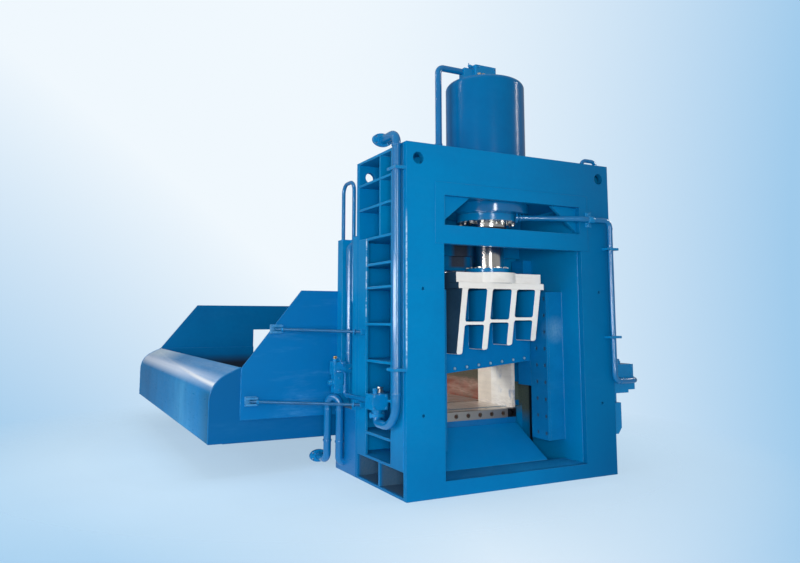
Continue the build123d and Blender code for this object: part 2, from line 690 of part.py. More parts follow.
def hold_down_bolts():
    """Foot bolts of the hold-down barrel."""
    seat = Plane((0, back(HOLD_DEPTH), PORTAL_TOP_Z + 45))
    return group(hex_bolt(seat * spot, 24, 22) for spot in PolarLocations(HOLD_BARREL_R + 33, 12))


def hold_down_rod():
    """Rod with its piston head."""
    y = back(HOLD_DEPTH)
    rod = post(0, y, (PLATEN_Z[1], HOLD_TOP_Z - 260), HOLD_ROD_R)
    return rod + post(0, y, (HOLD_TOP_Z - 260, HOLD_TOP_Z - 140), HOLD_BORE_R - RUN_GAP)


def hold_down_platen():
    """Pressing head: bottom plate, top plate and three ribs."""
    x = (-PLATEN_HALF_W, PLATEN_HALF_W)
    y = [back(d) for d in PLATEN_DEPTH]
    head = block(x, y, (PLATEN_Z[0], PLATEN_Z[0] + 70)) + block(x, y, (PLATEN_Z[1] - 60, PLATEN_Z[1]))
    for rib in (-500, -30, 440):
        head += block((rib, rib + 60), y, (PLATEN_Z[0] + 70, PLATEN_Z[1] - 60))
    return head


def channel_liners():
    """Bare side plates of the feed channel, from the blade to the box."""
    y = (back(CUT_DEPTH + BLADE_T), back(PORTAL_REAR_DEPTH))
    liner = block((THROAT_HALF_W, THROAT_HALF_W + LINER_PLATE_T), y, (BED_Z, LINER_PLATE_Z))
    return group(both_sides(liner))


# Charging box

def lip_points(inset):
    """Corners of the lip sheet, moved in by inset: foot, arc start, middle and end, crease, floor edge."""
    centre = Vector(LIP_X + LIP_ARC_R, LIP_ARC_Z)
    radius = LIP_ARC_R - inset

    def on_arc(angle):
        return centre + Vector(cos(radians(angle)), sin(radians(angle))) * radius

    arc_end = 90 + LIP_SLOPE
    crease_z = centre.Y + LIP_ARC_R * sin(radians(arc_end))
    crease_z += (CREASE_X - centre.X - LIP_ARC_R * cos(radians(arc_end))) * tan(radians(LIP_SLOPE))
    fall = (crease_z - FLOOR_Z) / (CREASE_X + FLOOR_HALF_W)
    drop = inset * sqrt(1 + fall * fall)
    top = on_arc(arc_end)
    rise = tan(radians(LIP_SLOPE))
    edge_z = FLOOR_Z - drop
    crease_x = (edge_z + fall * FLOOR_HALF_W - top.Y + rise * top.X) / (rise - fall)
    crease = Vector(crease_x, edge_z + fall * (crease_x + FLOOR_HALF_W))
    foot = Vector(LIP_X + inset, LIP_BOTTOM_Z)
    return foot, on_arc(180), on_arc((180 + arc_end) / 2), top, crease, Vector(-FLOOR_HALF_W, edge_z)


def lip_edges(inset):
    """Edges of the lip outline from its foot to its crease, with the last two corners."""
    foot, arc_start, arc_middle, arc_end, crease, edge = lip_points(inset)
    edges = [Line(foot, arc_start), ThreePointArc(arc_start, arc_middle, arc_end), Line(arc_end, crease)]
    return edges, foot, crease, edge


def extrude_box_section(edges, depths):
    """Solid with a section in X and Z, between two depths behind the front face."""
    section = Plane.XZ.offset(-back(depths[0])) * make_face(edges)
    return extrude(section, amount=depths[1] - depths[0], dir=(0, 1, 0))


def loading_lip():
    """Bent sheet: outer wall, round lip and the slope into the feed channel."""
    outer, outer_foot, outer_crease, outer_edge = lip_edges(0)
    inner, inner_foot, inner_crease, inner_edge = lip_edges(SHEET_T)
    edges = outer + [Polyline(outer_crease, outer_edge, inner_edge, inner_crease)]
    edges += inner + [Line(inner_foot, outer_foot)]
    return extrude_box_section(edges, (BOX_NEAR_DEPTH + 2 * CHEEK_T, BOX_FAR_DEPTH - 2 * CHEEK_T))


def lip_end_plate(depths, right_x):
    """End plate of the box under the lip line, out to a right-hand edge."""
    edges, foot, crease, edge = lip_edges(0)
    corners = (crease, Vector(right_x, crease.Y), Vector(right_x, LIP_BOTTOM_Z), foot)
    return extrude_box_section(edges + [Polyline(*corners)], depths)


def feed_opening():
    """Cutter for the opening in the far end where a feeder enters."""
    depths = (back(BOX_FAR_DEPTH - 3 * CHEEK_T), back(BOX_FAR_DEPTH + CHEEK_T))
    return block((-FLOOR_HALF_W, FLOOR_HALF_W), depths, (FLOOR_Z, FEED_OPENING_Z))


def lip_end_plates():
    """Plates that close the loading lip at both ends of the box."""
    near = BOX_NEAR_DEPTH + CHEEK_T
    far = BOX_FAR_DEPTH - CHEEK_T
    far_plate = lip_end_plate((far - CHEEK_T, far), FLOOR_HALF_W + RIGHT_WALL_T) - feed_opening()
    return group([lip_end_plate((near, near + CHEEK_T), -FLOOR_HALF_W), far_plate])


def cheek(top_corner, right_x, depths):
    """Tall end cheek of the box with its slanted loading edge."""
    crease = lip_points(0)[4]
    outline = ((crease.X, CHEEK_BOTTOM_Z), (crease.X, crease.Y), top_corner, (right_x, top_corner[1]))
    outline += ((right_x, CHEEK_BOTTOM_Z),)
    return plate_xz(outline, [back(d) for d in depths])


def box_cheeks():
    """Near cheek beside the gantry and far cheek with the feed opening."""
    near = cheek(NEAR_CHEEK, -FLOOR_HALF_W, (BOX_NEAR_DEPTH, BOX_NEAR_DEPTH + CHEEK_T))
    far = cheek(FAR_CHEEK, FLOOR_HALF_W + RIGHT_WALL_T, (BOX_FAR_DEPTH - CHEEK_T, BOX_FAR_DEPTH))
    return group([near, far - feed_opening()])


def box_right_wall():
    """Right wall of the box with a rim at its top and foot and upright ribs outside."""
    y = (back(BOX_NEAR_DEPTH), back(BOX_FAR_DEPTH - 2 * CHEEK_T))
    outside = FLOOR_HALF_W + RIGHT_WALL_T
    reach = (outside, outside + WALL_RIB_REACH)
    low, high = LIP_BOTTOM_Z, FAR_CHEEK[1]
    wall = block((FLOOR_HALF_W, outside), y, (low, high))
    wall += block(reach, y, (low, low + WALL_RIM_T)) + block(reach, y, (high - WALL_RIM_T, high))
    for d in WALL_RIB_DEPTHS:
        wall += block(reach, (back(d), back(d + WALL_RIB_T)), (low, high))
    return wall


def box_floor():
    y = (back(BOX_NEAR_DEPTH), back(BOX_FAR_DEPTH - 2 * CHEEK_T))
    return block((-FLOOR_HALF_W, FLOOR_HALF_W), y, (FLOOR_Z - FLOOR_T, FLOOR_Z))


def box_diaphragms():
    """Cross plates inside the lip and under the floor."""
    edges, foot, crease, edge = lip_edges(SHEET_T)
    under = FLOOR_Z - FLOOR_T
    corners = (crease, edge, Vector(edge.X, under), Vector(FLOOR_HALF_W, under))
    corners += (Vector(FLOOR_HALF_W, LIP_BOTTOM_Z), foot)
    half = DIAPHRAGM_T / 2
    outline = edges + [Polyline(*corners)]
    return group(extrude_box_section(outline, (d - half, d + half)) for d in DIAPHRAGM_DEPTHS)


def box_sleepers():
    """Two I-section sleepers that carry the box on the floor."""
    solids = []
    for d in SLEEPER_DEPTHS:
        y = (back(d - SLEEPER_W / 2), back(d + SLEEPER_W / 2))
        web = (back(d) - 15, back(d) + 15)
        sleeper = block(SLEEPER_X, y, (0, 30)) + block(SLEEPER_X, web, (30, LIP_BOTTOM_Z - 30))
        solids.append(sleeper + block(SLEEPER_X, y, (LIP_BOTTOM_Z - 30, LIP_BOTTOM_Z)))
    return group(solids)


def stay_ends():
    """Box end and frame end of each stay rod."""
    box_y = back(BOX_NEAR_DEPTH) - 45
    frame_end = (-FRAME_HALF_W - 30, back(STAY_FRAME_DEPTH))
    return [((x, box_y, box_z), (*frame_end, frame_z)) for x, box_z, frame_z in STAYS]


def stay_rods():
    return group(bar(start, end, STAY_R) for start, end in stay_ends())


def stay_brackets():
    """Forked pads on the box cheek and lugs on the frame, cut clear round the rods."""
    solids = []
    wall = back(BOX_NEAR_DEPTH)
    for start, end in stay_ends():
        x, y, z = start
        pad = block((x - 45, x + 75), (wall - 20, wall), (z - 48, z + 48))
        for side in (z - 40, z + 22):
            pad += block((x - 45, x + 75), (wall - 70, wall - 20), (side, side + 18))
        solids.append(pad - bar(start, end, STAY_R))
        frame_x, y, z = end
        lug = block((frame_x - 12, -FRAME_HALF_W), (y - 35, y + 35), (z - 26, z + 26))
        solids.append(lug - bar(start, end, STAY_R))
    return group(solids)


# Oil lines

def left_oil_pipe():
    """Front left riser: from the port flange at the top, down the side, up into its valve block."""
    x, depth, z = LEFT_PORT
    y = back(LEFT_PIPE_DEPTH)
    leg = back(LEFT_LEG_DEPTH)
    points = [(x, back(depth), z), (x, y, z), (x, y, 604), (x, leg, 604), (x, leg, LEFT_BLOCK_Z[0])]
    return pipe(points, MAIN_PIPE_R, (95, 230, 57))


def port_flanges():
    """Free end flanges of the front left riser and of the rear line, and the collar under the left block."""
    oval = Plane((LEFT_PORT[0], back(LEFT_LEG_DEPTH), BLOCK_FLANGE_Z[0])) * Ellipse(*BLOCK_FLANGE_RADII)
    collar = extrude(oval, BLOCK_FLANGE_Z[1] - BLOCK_FLANGE_Z[0])
    neck = (BLOCK_FLANGE_Z[1], LEFT_BLOCK_Z[0])
    collar += post(LEFT_PORT[0], back(LEFT_LEG_DEPTH), neck, MAIN_PIPE_R + 10)
    collar -= post(LEFT_PORT[0], back(LEFT_LEG_DEPTH), (0, FRAME_H), MAIN_PIPE_R)
    return group([port_flange(LEFT_PORT), port_flange(REAR_PORT), collar])


def left_valve_block():
    """Valve block on the edges of the column ribs, with a cartridge cap and a gauge boss on top."""
    x, y = LEFT_BLOCK_X, [back(d) for d in LEFT_BLOCK_DEPTH]
    solid = block(x, y, LEFT_BLOCK_Z)
    top = LEFT_BLOCK_Z[1]
    solid += post(x[0] + 66, y[1] - 70, (top, top + 24), 20)
    return solid + post(x[0] + 118, y[1] - 70, (top, top + 4), 30)


def pipe_clamps():
    """Saddle bars of the front left riser and of the return line down the right edge."""
    left_x, left_y = LEFT_PORT[0], back(LEFT_PIPE_DEPTH)
    left_riser = post(left_x, left_y, (0, FRAME_H), MAIN_PIPE_R)
    right_riser = post(RIGHT_PIPE_X, back(-RIGHT_PIPE_STANDOFF), (0, FRAME_H), SIDE_PIPE_R)
    saddles = []
    for z in LEFT_CLAMP_LEVELS:
        x = (left_x - MAIN_PIPE_R - 12, -FRAME_HALF_W)
        saddles.append(block(x, (left_y - 78, left_y + 78), (z - 14, z + 14)) - left_riser)
    for z in RIGHT_CLAMP_LEVELS:
        x = (RIGHT_PIPE_X - 75, RIGHT_PIPE_X + 75)
        saddles.append(block(x, (back(-RIGHT_PIPE_STANDOFF - 40), back(0)), (z - 12, z + 12)) - right_riser)
    return group(saddles)


def right_oil_pipe():
    """Return line: from the gland, out through the slot, along the front and down the right edge."""
    front = back(-RIGHT_PIPE_STANDOFF)
    bend_x, level = RIGHT_PIPE_BEND
    outlet = (RIGHT_BLOCK_X[1] - 40, front, RIGHT_PIPE_Z)
    points = [RIGHT_PIPE_START, (bend_x, front, level), (RIGHT_PIPE_X, front, level)]
    points += [(RIGHT_PIPE_X, front, RIGHT_PIPE_Z), outlet]
    points.append((outlet[0], back(RIGHT_BLOCK_DEPTH[0]), RIGHT_PIPE_Z))
    return pipe(points, SIDE_PIPE_R, (120, 70, 70, 50))


def right_valve_block():
    """Stepped valve block on the right side of the frame."""
    y = [back(d) for d in RIGHT_BLOCK_DEPTH]
    left, right = RIGHT_BLOCK_X
    low, high = RIGHT_BLOCK_Z
    solid = block((left, right - 15), y, (low + 150, high)) + block((left, right), y, (low + 20, low + 150))
    solid += block((left, right - 90), y, (low - 10, low + 20))
    centre_y = sum(y) / 2
    solid += bar((right, centre_y, low + 90), (right + 45, centre_y, low + 90), 42)
    return solid + post(left + 150, centre_y, (high, high + 30), 34)


def right_side_box():
    """Connection box below the right valve block, with a pipe stub up to it."""
    left, right = FRAME_HALF_W, SIDE_BOX_X
    low, high = SIDE_BOX_Z
    outline = ((left, low), (right - 45, low), (right, low + 60), (right, high), (left, high))
    y = [back(d) for d in SIDE_BOX_DEPTH]
    return plate_xz(outline, y) + post(left + 58, sum(y) / 2, (high, RIGHT_BLOCK_Z[0] - 10), 36)


def link_pipe():
    """Line from the left valve block back to the rear one, with its thinner riser."""
    x, z = LINK_POS
    turn = back(LINK_TURN_DEPTH)
    run = pipe([(x, back(LEFT_BLOCK_DEPTH[1]), z), (x, turn, z), (x, turn, z + 70)], LINK_PIPE_R, 40)
    nut = post(x, turn, (z + 66, z + 100), LINK_PIPE_R + 4) - post(x, turn, (z, z + 120), PILOT_PIPE_R - 1)
    end_x, end_z = PILOT_TOP
    face = back(REAR_BLOCK_DEPTH[0])
    points = [(x, turn, z + 98), (x, turn, end_z), (end_x, turn, end_z), (end_x, face, end_z)]
    return run + nut + pipe(points, PILOT_PIPE_R, (34, 20))


def rear_oil_pipe():
    """Rear port line in its return bend from the floor flange to the bed, and the link to the left block."""
    x, depth, z = REAR_PORT
    far = (x, back(1528))
    near = (-1246, back(1400))
    points = [(x, back(depth), z), (*far, z), (*far, 745), (*near, 745), (*near, 100)]
    points.append((-FRAME_HALF_W, near[1], 100))
    return group([pipe(points, MAIN_PIPE_R, (85, 75, 75, 45)), link_pipe()])


def rear_valve_block():
    """Hold-down valve block on an arm from the pocket of the left portal column, with caps and a foot."""
    y = [back(d) for d in REAR_BLOCK_DEPTH]
    solid = block(REAR_BLOCK_X, y, REAR_BLOCK_Z)
    solid += block(REAR_FOOT_X, (y[0] + 12, y[1] - 12), (REAR_FOOT_Z, REAR_BLOCK_Z[0]))
    arm_y = [back(d) for d in REAR_ARM_DEPTH]
    solid += block((REAR_BLOCK_X[1], -POCKET_X), arm_y, REAR_ARM_Z)
    centre = sum(y) / 2
    solid += post(REAR_BLOCK_X[0] + 34, centre, (REAR_BLOCK_Z[1], REAR_BLOCK_Z[1] + 30), 24)
    left = REAR_FOOT_X[0]
    return solid + bar((left, centre, 905), (left - 30, centre, 905), 34)


def hold_down_pipes():
    """Riser from the rear valve block into the portal, and the arched line over the portal top."""
    x, y = -1163, back(1349)
    riser = pipe([(x, y, REAR_ARM_Z[1]), (x, y, 2320), (-POCKET_X, y, 2320)], MAIN_PIPE_R, 45)
    x, y = -1172, back(1520)
    down = back(ARCH_DOWN_DEPTH)
    arch = [(x, y, PORTAL_TOP_Z), (x, y, ARCH_Z[1]), (x, down, ARCH_Z[1]), (x, down, ARCH_Z[0]), (-POCKET_X, down, ARCH_Z[0])]
    return group([riser, pipe(arch, LOOP_PIPE_R, (100, 100, 40))])


def lifting_loop():
    """Bent tube handle on the top of the right column."""
    y = back(105)
    left, right = LOOP_X
    top = FRAME_H + LOOP_H
    points = [(left, y, FRAME_H), (left, y, top), (right, y, top), (right, y, FRAME_H)]
    return pipe(points, LOOP_PIPE_R, 60)


def top_oil_pipe():
    """Filling line from the top valve block over and down to the frame top."""
    x = -566
    points = [(TOP_PIPE_END, 0, TOP_PIPE_Z), (x, 0, TOP_PIPE_Z), (x, 0, FRAME_H)]
    return pipe(points, TOP_PIPE_R, 60)


NODES = (
    front_plate, rear_plate, side_columns, top_beam, corner_gussets, base_plate, lifting_loop,
    anvil, lower_blade, lower_blade_bolts, lower_blade_stop, discharge_chute,
    guide_blocks, guide_liners, guide_liner_bolts, guide_wear_strips, rear_guide_bars,
    slide_plate, slide_ribs, slide_crown, upper_blade, upper_blade_bolts,
    rod_flange, rod_flange_bolts, piston_rod, piston,
    cylinder_barrel, cylinder_gland, gland_bolts, rod_wiper, top_valve_block,
    rear_bed, portal_columns, portal_beam, channel_liners,
    hold_down_bush, hold_down_barrel, hold_down_bolts, hold_down_rod, hold_down_platen,
    loading_lip, lip_end_plates, box_cheeks, box_right_wall, box_floor,
    box_diaphragms, box_sleepers, stay_rods, stay_brackets,
    left_oil_pipe, left_valve_block, right_oil_pipe, right_valve_block, right_side_box,
    rear_oil_pipe, rear_valve_block, hold_down_pipes, top_oil_pipe, port_flanges, pipe_clamps,
)

os.makedirs("parts", exist_ok=True)
for make in NODES:
    export_step(make(), f"parts/{make.__name__}.step")
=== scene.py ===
"""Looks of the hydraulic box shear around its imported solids.

Finishes, welds, fasteners and small oil fittings, in metres: X runs along the front from left to
right, Y runs to the rear and Z is up, with the floor at Z = 0.
"""
import logging
import math
from dataclasses import dataclass, field
from enum import Enum
from functools import cached_property, reduce
from itertools import product

import bmesh
import bpy
from mathutils import Matrix, Vector


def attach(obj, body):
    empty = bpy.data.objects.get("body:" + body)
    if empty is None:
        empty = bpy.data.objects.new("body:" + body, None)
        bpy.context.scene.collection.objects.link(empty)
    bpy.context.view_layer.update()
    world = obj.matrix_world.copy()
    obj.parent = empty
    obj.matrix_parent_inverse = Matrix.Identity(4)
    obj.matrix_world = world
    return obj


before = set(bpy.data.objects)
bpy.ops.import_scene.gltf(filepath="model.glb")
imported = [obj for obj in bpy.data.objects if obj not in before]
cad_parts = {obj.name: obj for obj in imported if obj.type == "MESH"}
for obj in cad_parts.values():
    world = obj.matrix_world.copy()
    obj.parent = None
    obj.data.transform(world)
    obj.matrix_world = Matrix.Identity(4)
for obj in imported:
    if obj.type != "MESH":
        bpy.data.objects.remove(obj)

LOG = logging.getLogger("box_shear")
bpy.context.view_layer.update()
FRONT_Y = -0.5
FRAME_TOP = 3.15
RIB_FOOT = (1.268, 0.136)  # level at the middle and rake of the free feet of the slide's ribs
STAND_OFF = 0.001  # keeps a weld or the seat of a head from lying in a face

Colour = tuple[float, float, float]
Point = tuple[float, float, float]
Span = tuple[float, float]
Levels = tuple[float, ...]
Profile = tuple[Span, ...]
Build = bmesh.types.BMesh
Mesh = bpy.types.Mesh
Node = bpy.types.Node
Outputs = bpy.types.bpy_prop_collection
Socket = bpy.types.NodeSocket
Tree = bpy.types.NodeTree

LEFT, RIGHT = (-1.0, 0.0, 0.0), (1.0, 0.0, 0.0)
FRONT, REAR = (0.0, -1.0, 0.0), (0.0, 1.0, 0.0)
DOWN, UP = (0.0, 0.0, -1.0), (0.0, 0.0, 1.0)
HEX, THIN_ROUND, ROUND = 6, 12, 28  # facets of turned shapes
PLATE_EDGE, HEX_EDGE, TUBE_EDGE = 0.6, 0.4, 1.2  # angles in radians past which an edge stays sharp


class Body(Enum):
    """Bodies of the machine that a piece can ride on."""

    FRAME = "frame"
    SLIDE = "shear_slide"


class Slot(Enum):
    """Material slots of the record."""

    BLUE = "blue_paint"
    MACHINED = "machined_steel"
    BRONZE = "bronze"


class TreeKind(Enum):
    """Kinds of node group."""

    SHADER = "ShaderNodeTree"
    GEOMETRY = "GeometryNodeTree"


def srgb(red: int, green: int, blue: int) -> Colour:
    """Linear colour of an 8-bit screen colour."""
    channels = [value / 255 for value in (red, green, blue)]
    return tuple(c / 12.92 if c <= 0.04045 else ((c + 0.055) / 1.055) ** 2.4 for c in channels)


def back(depth: float) -> float:
    """Y of a plane this far behind the front face."""
    return FRONT_Y + depth


class Graph:
    """Adds and joins nodes in one tree."""

    def __init__(self, tree: Tree) -> None:
        """Keep the tree that is filled."""
        self.tree = tree

    def feed(self, socket: Socket, value: object) -> None:
        """Join a socket to another one, or give it a constant.

        Args:
            socket: the input that is fed.
            value: an output socket, a number, a vector or a colour.
        """
        if isinstance(value, Socket):
            self.tree.links.new(value, socket)
        elif socket.type == "RGBA":
            socket.default_value = (*value, 1.0)
        else:
            socket.default_value = value

    def fill(self, node: Node, values: dict) -> Node:
        """Feed several inputs of a node.

        Args:
            node: the node that is fed.
            values: constants or sockets by input name or number.

        Returns:
            The same node.
        """
        for key, value in values.items():
            self.feed(node.inputs[key], value)
        return node

    def add(self, kind: str, inputs: dict | None = None, **settings: object) -> Node:
        """Add a node.

        Args:
            kind: name of the node's type.
            inputs: constants or sockets by input name or number.
            settings: properties of the node itself.

        Returns:
            The new node.
        """
        node = self.tree.nodes.new(kind)
        for name, value in settings.items():
            setattr(node, name, value)
        return self.fill(node, inputs or {})

    def math(self, operation: str, first: object, second: object = 0.0) -> Socket:
        """Result of one operation on two numbers."""
        return self.add("ShaderNodeMath", {0: first, 1: second}, operation=operation).outputs[0]

    def times(self, *values: object) -> Socket:
        """Product of all the values."""
        return reduce(lambda first, second: self.math("MULTIPLY", first, second), values)

    def measure(self, operation: str, first: object, second: object = (0.0, 0.0, 0.0)) -> Socket:
        """Number that one operation on two vectors gives."""
        node = self.add("ShaderNodeVectorMath", {0: first, 1: second}, operation=operation)
        return node.outputs["Value"]

    def remap(self, value: object, low: float, high: float, to_low: float = 0.0,
              to_high: float = 1.0) -> Socket:
        """Value moved from one range to another and clamped to it."""
        inputs = {0: value, 1: low, 2: high, 3: to_low, 4: to_high}
        return self.add("ShaderNodeMapRange", inputs).outputs[0]

    def between(self, share: object, start: float, end: float) -> Socket:
        """Value on the way from one number to another."""
        return self.remap(share, 0.0, 1.0, start, end)

    def window(self, value: object, low: float, high: float, rise: float, fall: float) -> Socket:
        """1 between two limits, with soft ends of these widths inside them."""
        return self.times(self.remap(value, low, low + rise), self.remap(value, high, high - fall))

    def mix(self, share: object, first: object, second: object) -> Socket:
        """Colour between two colours."""
        return self.add("ShaderNodeMix", {0: share, 6: first, 7: second}, data_type="RGBA").outputs[2]

    def lay(self, colour: object, over: object, *shares: object) -> Socket:
        """Colour with another one laid over it by the product of the shares."""
        return self.mix(self.times(*shares), colour, over)

    def noise(self, position: object, scale: object, detail: float) -> Socket:
        """Soft noise between 0 and 1 at a position."""
        inputs = {"Vector": position, "Scale": scale, "Detail": detail, "Roughness": 0.55}
        return self.add("ShaderNodeTexNoise", inputs).outputs[0]

    def stretched(self, position: object, scale: Point) -> Socket:
        """Position scaled differently along each axis."""
        return self.add("ShaderNodeMapping", {"Vector": position, "Scale": scale}).outputs[0]

    def axes(self, vector: object) -> tuple[Socket, Socket, Socket]:
        """The three parts of a vector."""
        return tuple(self.add("ShaderNodeSeparateXYZ", {0: vector}).outputs)

    def normal(self) -> Socket:
        """Direction that the surface faces."""
        return self.add("ShaderNodeNewGeometry").outputs["Normal"]


SOCKET_TYPES = {"Position": "NodeSocketVector", "Normal": "NodeSocketVector", "Guide": "NodeSocketGeometry",
                "Geometry": "NodeSocketGeometry", "Finish": "NodeSocketMaterial"}


def start_group(kind: TreeKind, name: str, inputs: tuple[str, ...],
                outputs: tuple[str, ...]) -> tuple[Graph, Outputs, Node]:
    """Begin a node group with named sockets, which are numbers unless their name says otherwise.

    Args:
        kind: kind of the group.
        name: name of the group.
        inputs: names of its inputs.
        outputs: names of its outputs.

    Returns:
        The graph of the group, the sockets that bring its inputs in, and its output node.
    """
    tree = bpy.data.node_groups.new(name, kind.value)
    for labels, side in ((inputs, "INPUT"), (outputs, "OUTPUT")):
        for label in labels:
            socket_type = SOCKET_TYPES.get(label, "NodeSocketFloat")
            tree.interface.new_socket(label, in_out=side, socket_type=socket_type)
    graph = Graph(tree)
    return graph, graph.add("NodeGroupInput").outputs, graph.add("NodeGroupOutput")


class Effects:
    """Shader groups that several finishes share."""

    @cached_property
    def tone(self) -> Tree:
        """Slow drift of a paint's tone, with its orange peel.

        Returns:
            The group, which gives the tone and the height of the peel.
        """
        g, start, end = start_group(TreeKind.SHADER, "paint_tone", ("Position", "Patch"), ("Tone", "Peel"))
        place = start["Position"]
        slow = g.noise(place, g.math("DIVIDE", 1.0, start["Patch"]), 2.0)
        fine = g.noise(place, g.math("DIVIDE", 16.0, start["Patch"]), 5.0)
        both = g.math("ADD", g.times(slow, 0.72), g.times(fine, 0.28))
        g.fill(end, {"Tone": g.remap(both, 0.36, 0.64), "Peel": g.noise(place, 150.0, 1.0)})
        return g.tree

    @cached_property
    def dust(self) -> Tree:
        """Dust that settles on faces that look up.

        Returns:
            The group, which gives the mask of the dust.
        """
        g, start, end = start_group(TreeKind.SHADER, "settled_dust", ("Position", "Amount"), ("Mask",))
        lying = g.remap(g.axes(g.normal())[2], 0.35, 0.95)
        patchy = g.remap(g.noise(start["Position"], 4.0, 6.0), 0.3, 0.72)
        g.fill(end, {"Mask": g.times(lying, patchy, start["Amount"])})
        return g.tree

    @cached_property
    def smears(self) -> Tree:
        """Pale level smudges left by handling and by wiping.

        Returns:
            The group, which gives the mask of the smudges.
        """
        g, start, end = start_group(TreeKind.SHADER, "level_smears", ("Position", "Amount"), ("Mask",))
        place = g.stretched(start["Position"], (0.9, 0.9, 4.2))
        broad = g.remap(g.noise(place, 1.5, 3.0), 0.52, 0.74)
        thin = g.remap(g.noise(place, 9.0, 5.0), 0.35, 0.75)
        g.fill(end, {"Mask": g.times(broad, thin, start["Amount"])})
        return g.tree

    @cached_property
    def edges(self) -> Tree:
        """Rounded plate edges and the paint that is knocked off them.

        Returns:
            The group, which gives the rounded normal and the mask of the bare edges.
        """
        inputs = ("Position", "Radius", "Wear")
        g, start, end = start_group(TreeKind.SHADER, "plate_edges", inputs, ("Normal", "Chip"))
        rounded = g.add("ShaderNodeBevel", {"Radius": start["Radius"]}, samples=4).outputs[0]
        rim = g.remap(g.measure("DOT_PRODUCT", rounded, g.normal()), 0.999, 0.86)
        ragged = g.times(g.noise(start["Position"], 26.0, 6.0), 1.5)
        worn = g.remap(g.math("ADD", rim, ragged), 1.15, 1.45)
        stretch = g.remap(g.noise(start["Position"], 2.2, 3.0), 0.46, 0.6, 0.18, 1.0)
        g.fill(end, {"Normal": rounded, "Chip": g.times(worn, rim, stretch, start["Wear"])})
        return g.tree

    @cached_property
    def streaks(self) -> Tree:
        """Long scrape marks, stretched by the stretch of the position that comes in.

        Returns:
            The group, which gives the mask of the marks and their fine part.
        """
        inputs = ("Position", "Amount")
        g, start, end = start_group(TreeKind.SHADER, "scrape_streaks", inputs, ("Mask", "Fine"))
        broad = g.remap(g.noise(start["Position"], 1.0, 4.0), 0.4, 0.66)
        fine = g.remap(g.noise(start["Position"], 7.0, 5.0), 0.42, 0.7)
        mask = g.times(broad, g.between(fine, 0.45, 1.0), start["Amount"])
        g.fill(end, {"Mask": mask, "Fine": fine})
        return g.tree

    @cached_property
    def rust(self) -> Tree:
        """Blooms of rust with a grainy tone inside them.

        Returns:
            The group, which gives the mask of the blooms and the grain inside them.
        """
        inputs = ("Position", "Size", "Cover")
        g, start, end = start_group(TreeKind.SHADER, "rust_bloom", inputs, ("Mask", "Grain"))
        place = start["Position"]
        bloom = g.noise(place, g.math("DIVIDE", 1.0, start["Size"]), 9.0)
        ragged = g.noise(place, g.math("DIVIDE", 9.0, start["Size"]), 6.0)
        level = g.math("SUBTRACT", 0.82, g.times(start["Cover"], 0.5))
        both = g.math("ADD", g.times(bloom, 0.62), g.times(ragged, 0.42))
        raised = g.times(g.math("SUBTRACT", both, level), 4.0)
        g.fill(end, {"Mask": g.remap(raised, 0.0, 1.0), "Grain": g.noise(place, 70.0, 6.0)})
        return g.tree


EFFECTS = Effects()


class Surface(Graph):
    """Nodes of one material, with its shader and what varies over the surface."""

    def __init__(self, material: bpy.types.Material) -> None:
        """Begin the material.

        Args:
            material: new material that is filled.
        """
        material.use_nodes = True
        super().__init__(material.node_tree)
        self.shader = self.tree.nodes["Principled BSDF"]
        self.place = self.add("ShaderNodeTexCoord").outputs["Object"]
        self.x, self.y, self.z = self.axes(self.place)
        self.right, self.rear, self.up = self.axes(self.normal())
        self.tone: Outputs | None = None
        self.edge: Outputs | None = None

    def effect(self, tree: Tree, **inputs: object) -> Outputs:
        """Place a shared effect.

        Args:
            tree: group of the effect.
            inputs: its values by name, with the object position where no other is given.

        Returns:
            The sockets that it puts out.
        """
        values = {"position": self.place} | inputs
        node = self.add("ShaderNodeGroup", node_tree=tree)
        return self.fill(node, {name.title(): value for name, value in values.items()}).outputs

    def scrapes(self, stretch: Point, amount: float = 1.0) -> Outputs:
        """Scrape marks on a stretched position."""
        return self.effect(EFFECTS.streaks, position=self.stretched(self.place, stretch), amount=amount)

    def finish(self, values: dict, height: Socket, depth: float) -> None:
        """Lead the looks into the shader.

        Args:
            values: constants or sockets by the shader's own names.
            height: height of the bumps between 0 and 1.
            depth: height in metres at 1.
        """
        bump = self.add("ShaderNodeBump", {"Height": height, "Distance": depth, "Strength": 1.0})
        if self.edge is not None:
            self.fill(bump, {"Normal": self.edge["Normal"]})
        self.fill(self.shader, {**values, "Normal": bump.outputs[0]})


DUST = srgb(140, 172, 196)
PALE_SMUDGE = srgb(72, 146, 200)
# pale colour of chipped edges, which also stands in for light caught on the rounded edges: part wear, part
# painted highlight
CHIP_AND_EDGE_SHEEN = srgb(150, 204, 234)
RUST_DARK = srgb(84, 52, 36)
RUST_LIGHT = srgb(150, 96, 62)


@dataclass(frozen=True)
class Finish:
    """A named finish that is built once and then reused."""

    name: str

    def build(self) -> bpy.types.Material:
        """Build the material, the first time that it is asked for.

        Returns:
            The one material that carries the finish's name.
        """
        material = bpy.data.materials.get(self.name)
        if material is None:
            material = bpy.data.materials.new(self.name)
            self.shade(Surface(material))
        return material

    def shade(self, s: Surface) -> None:
        """Fill the nodes of the material."""
        raise NotImplementedError


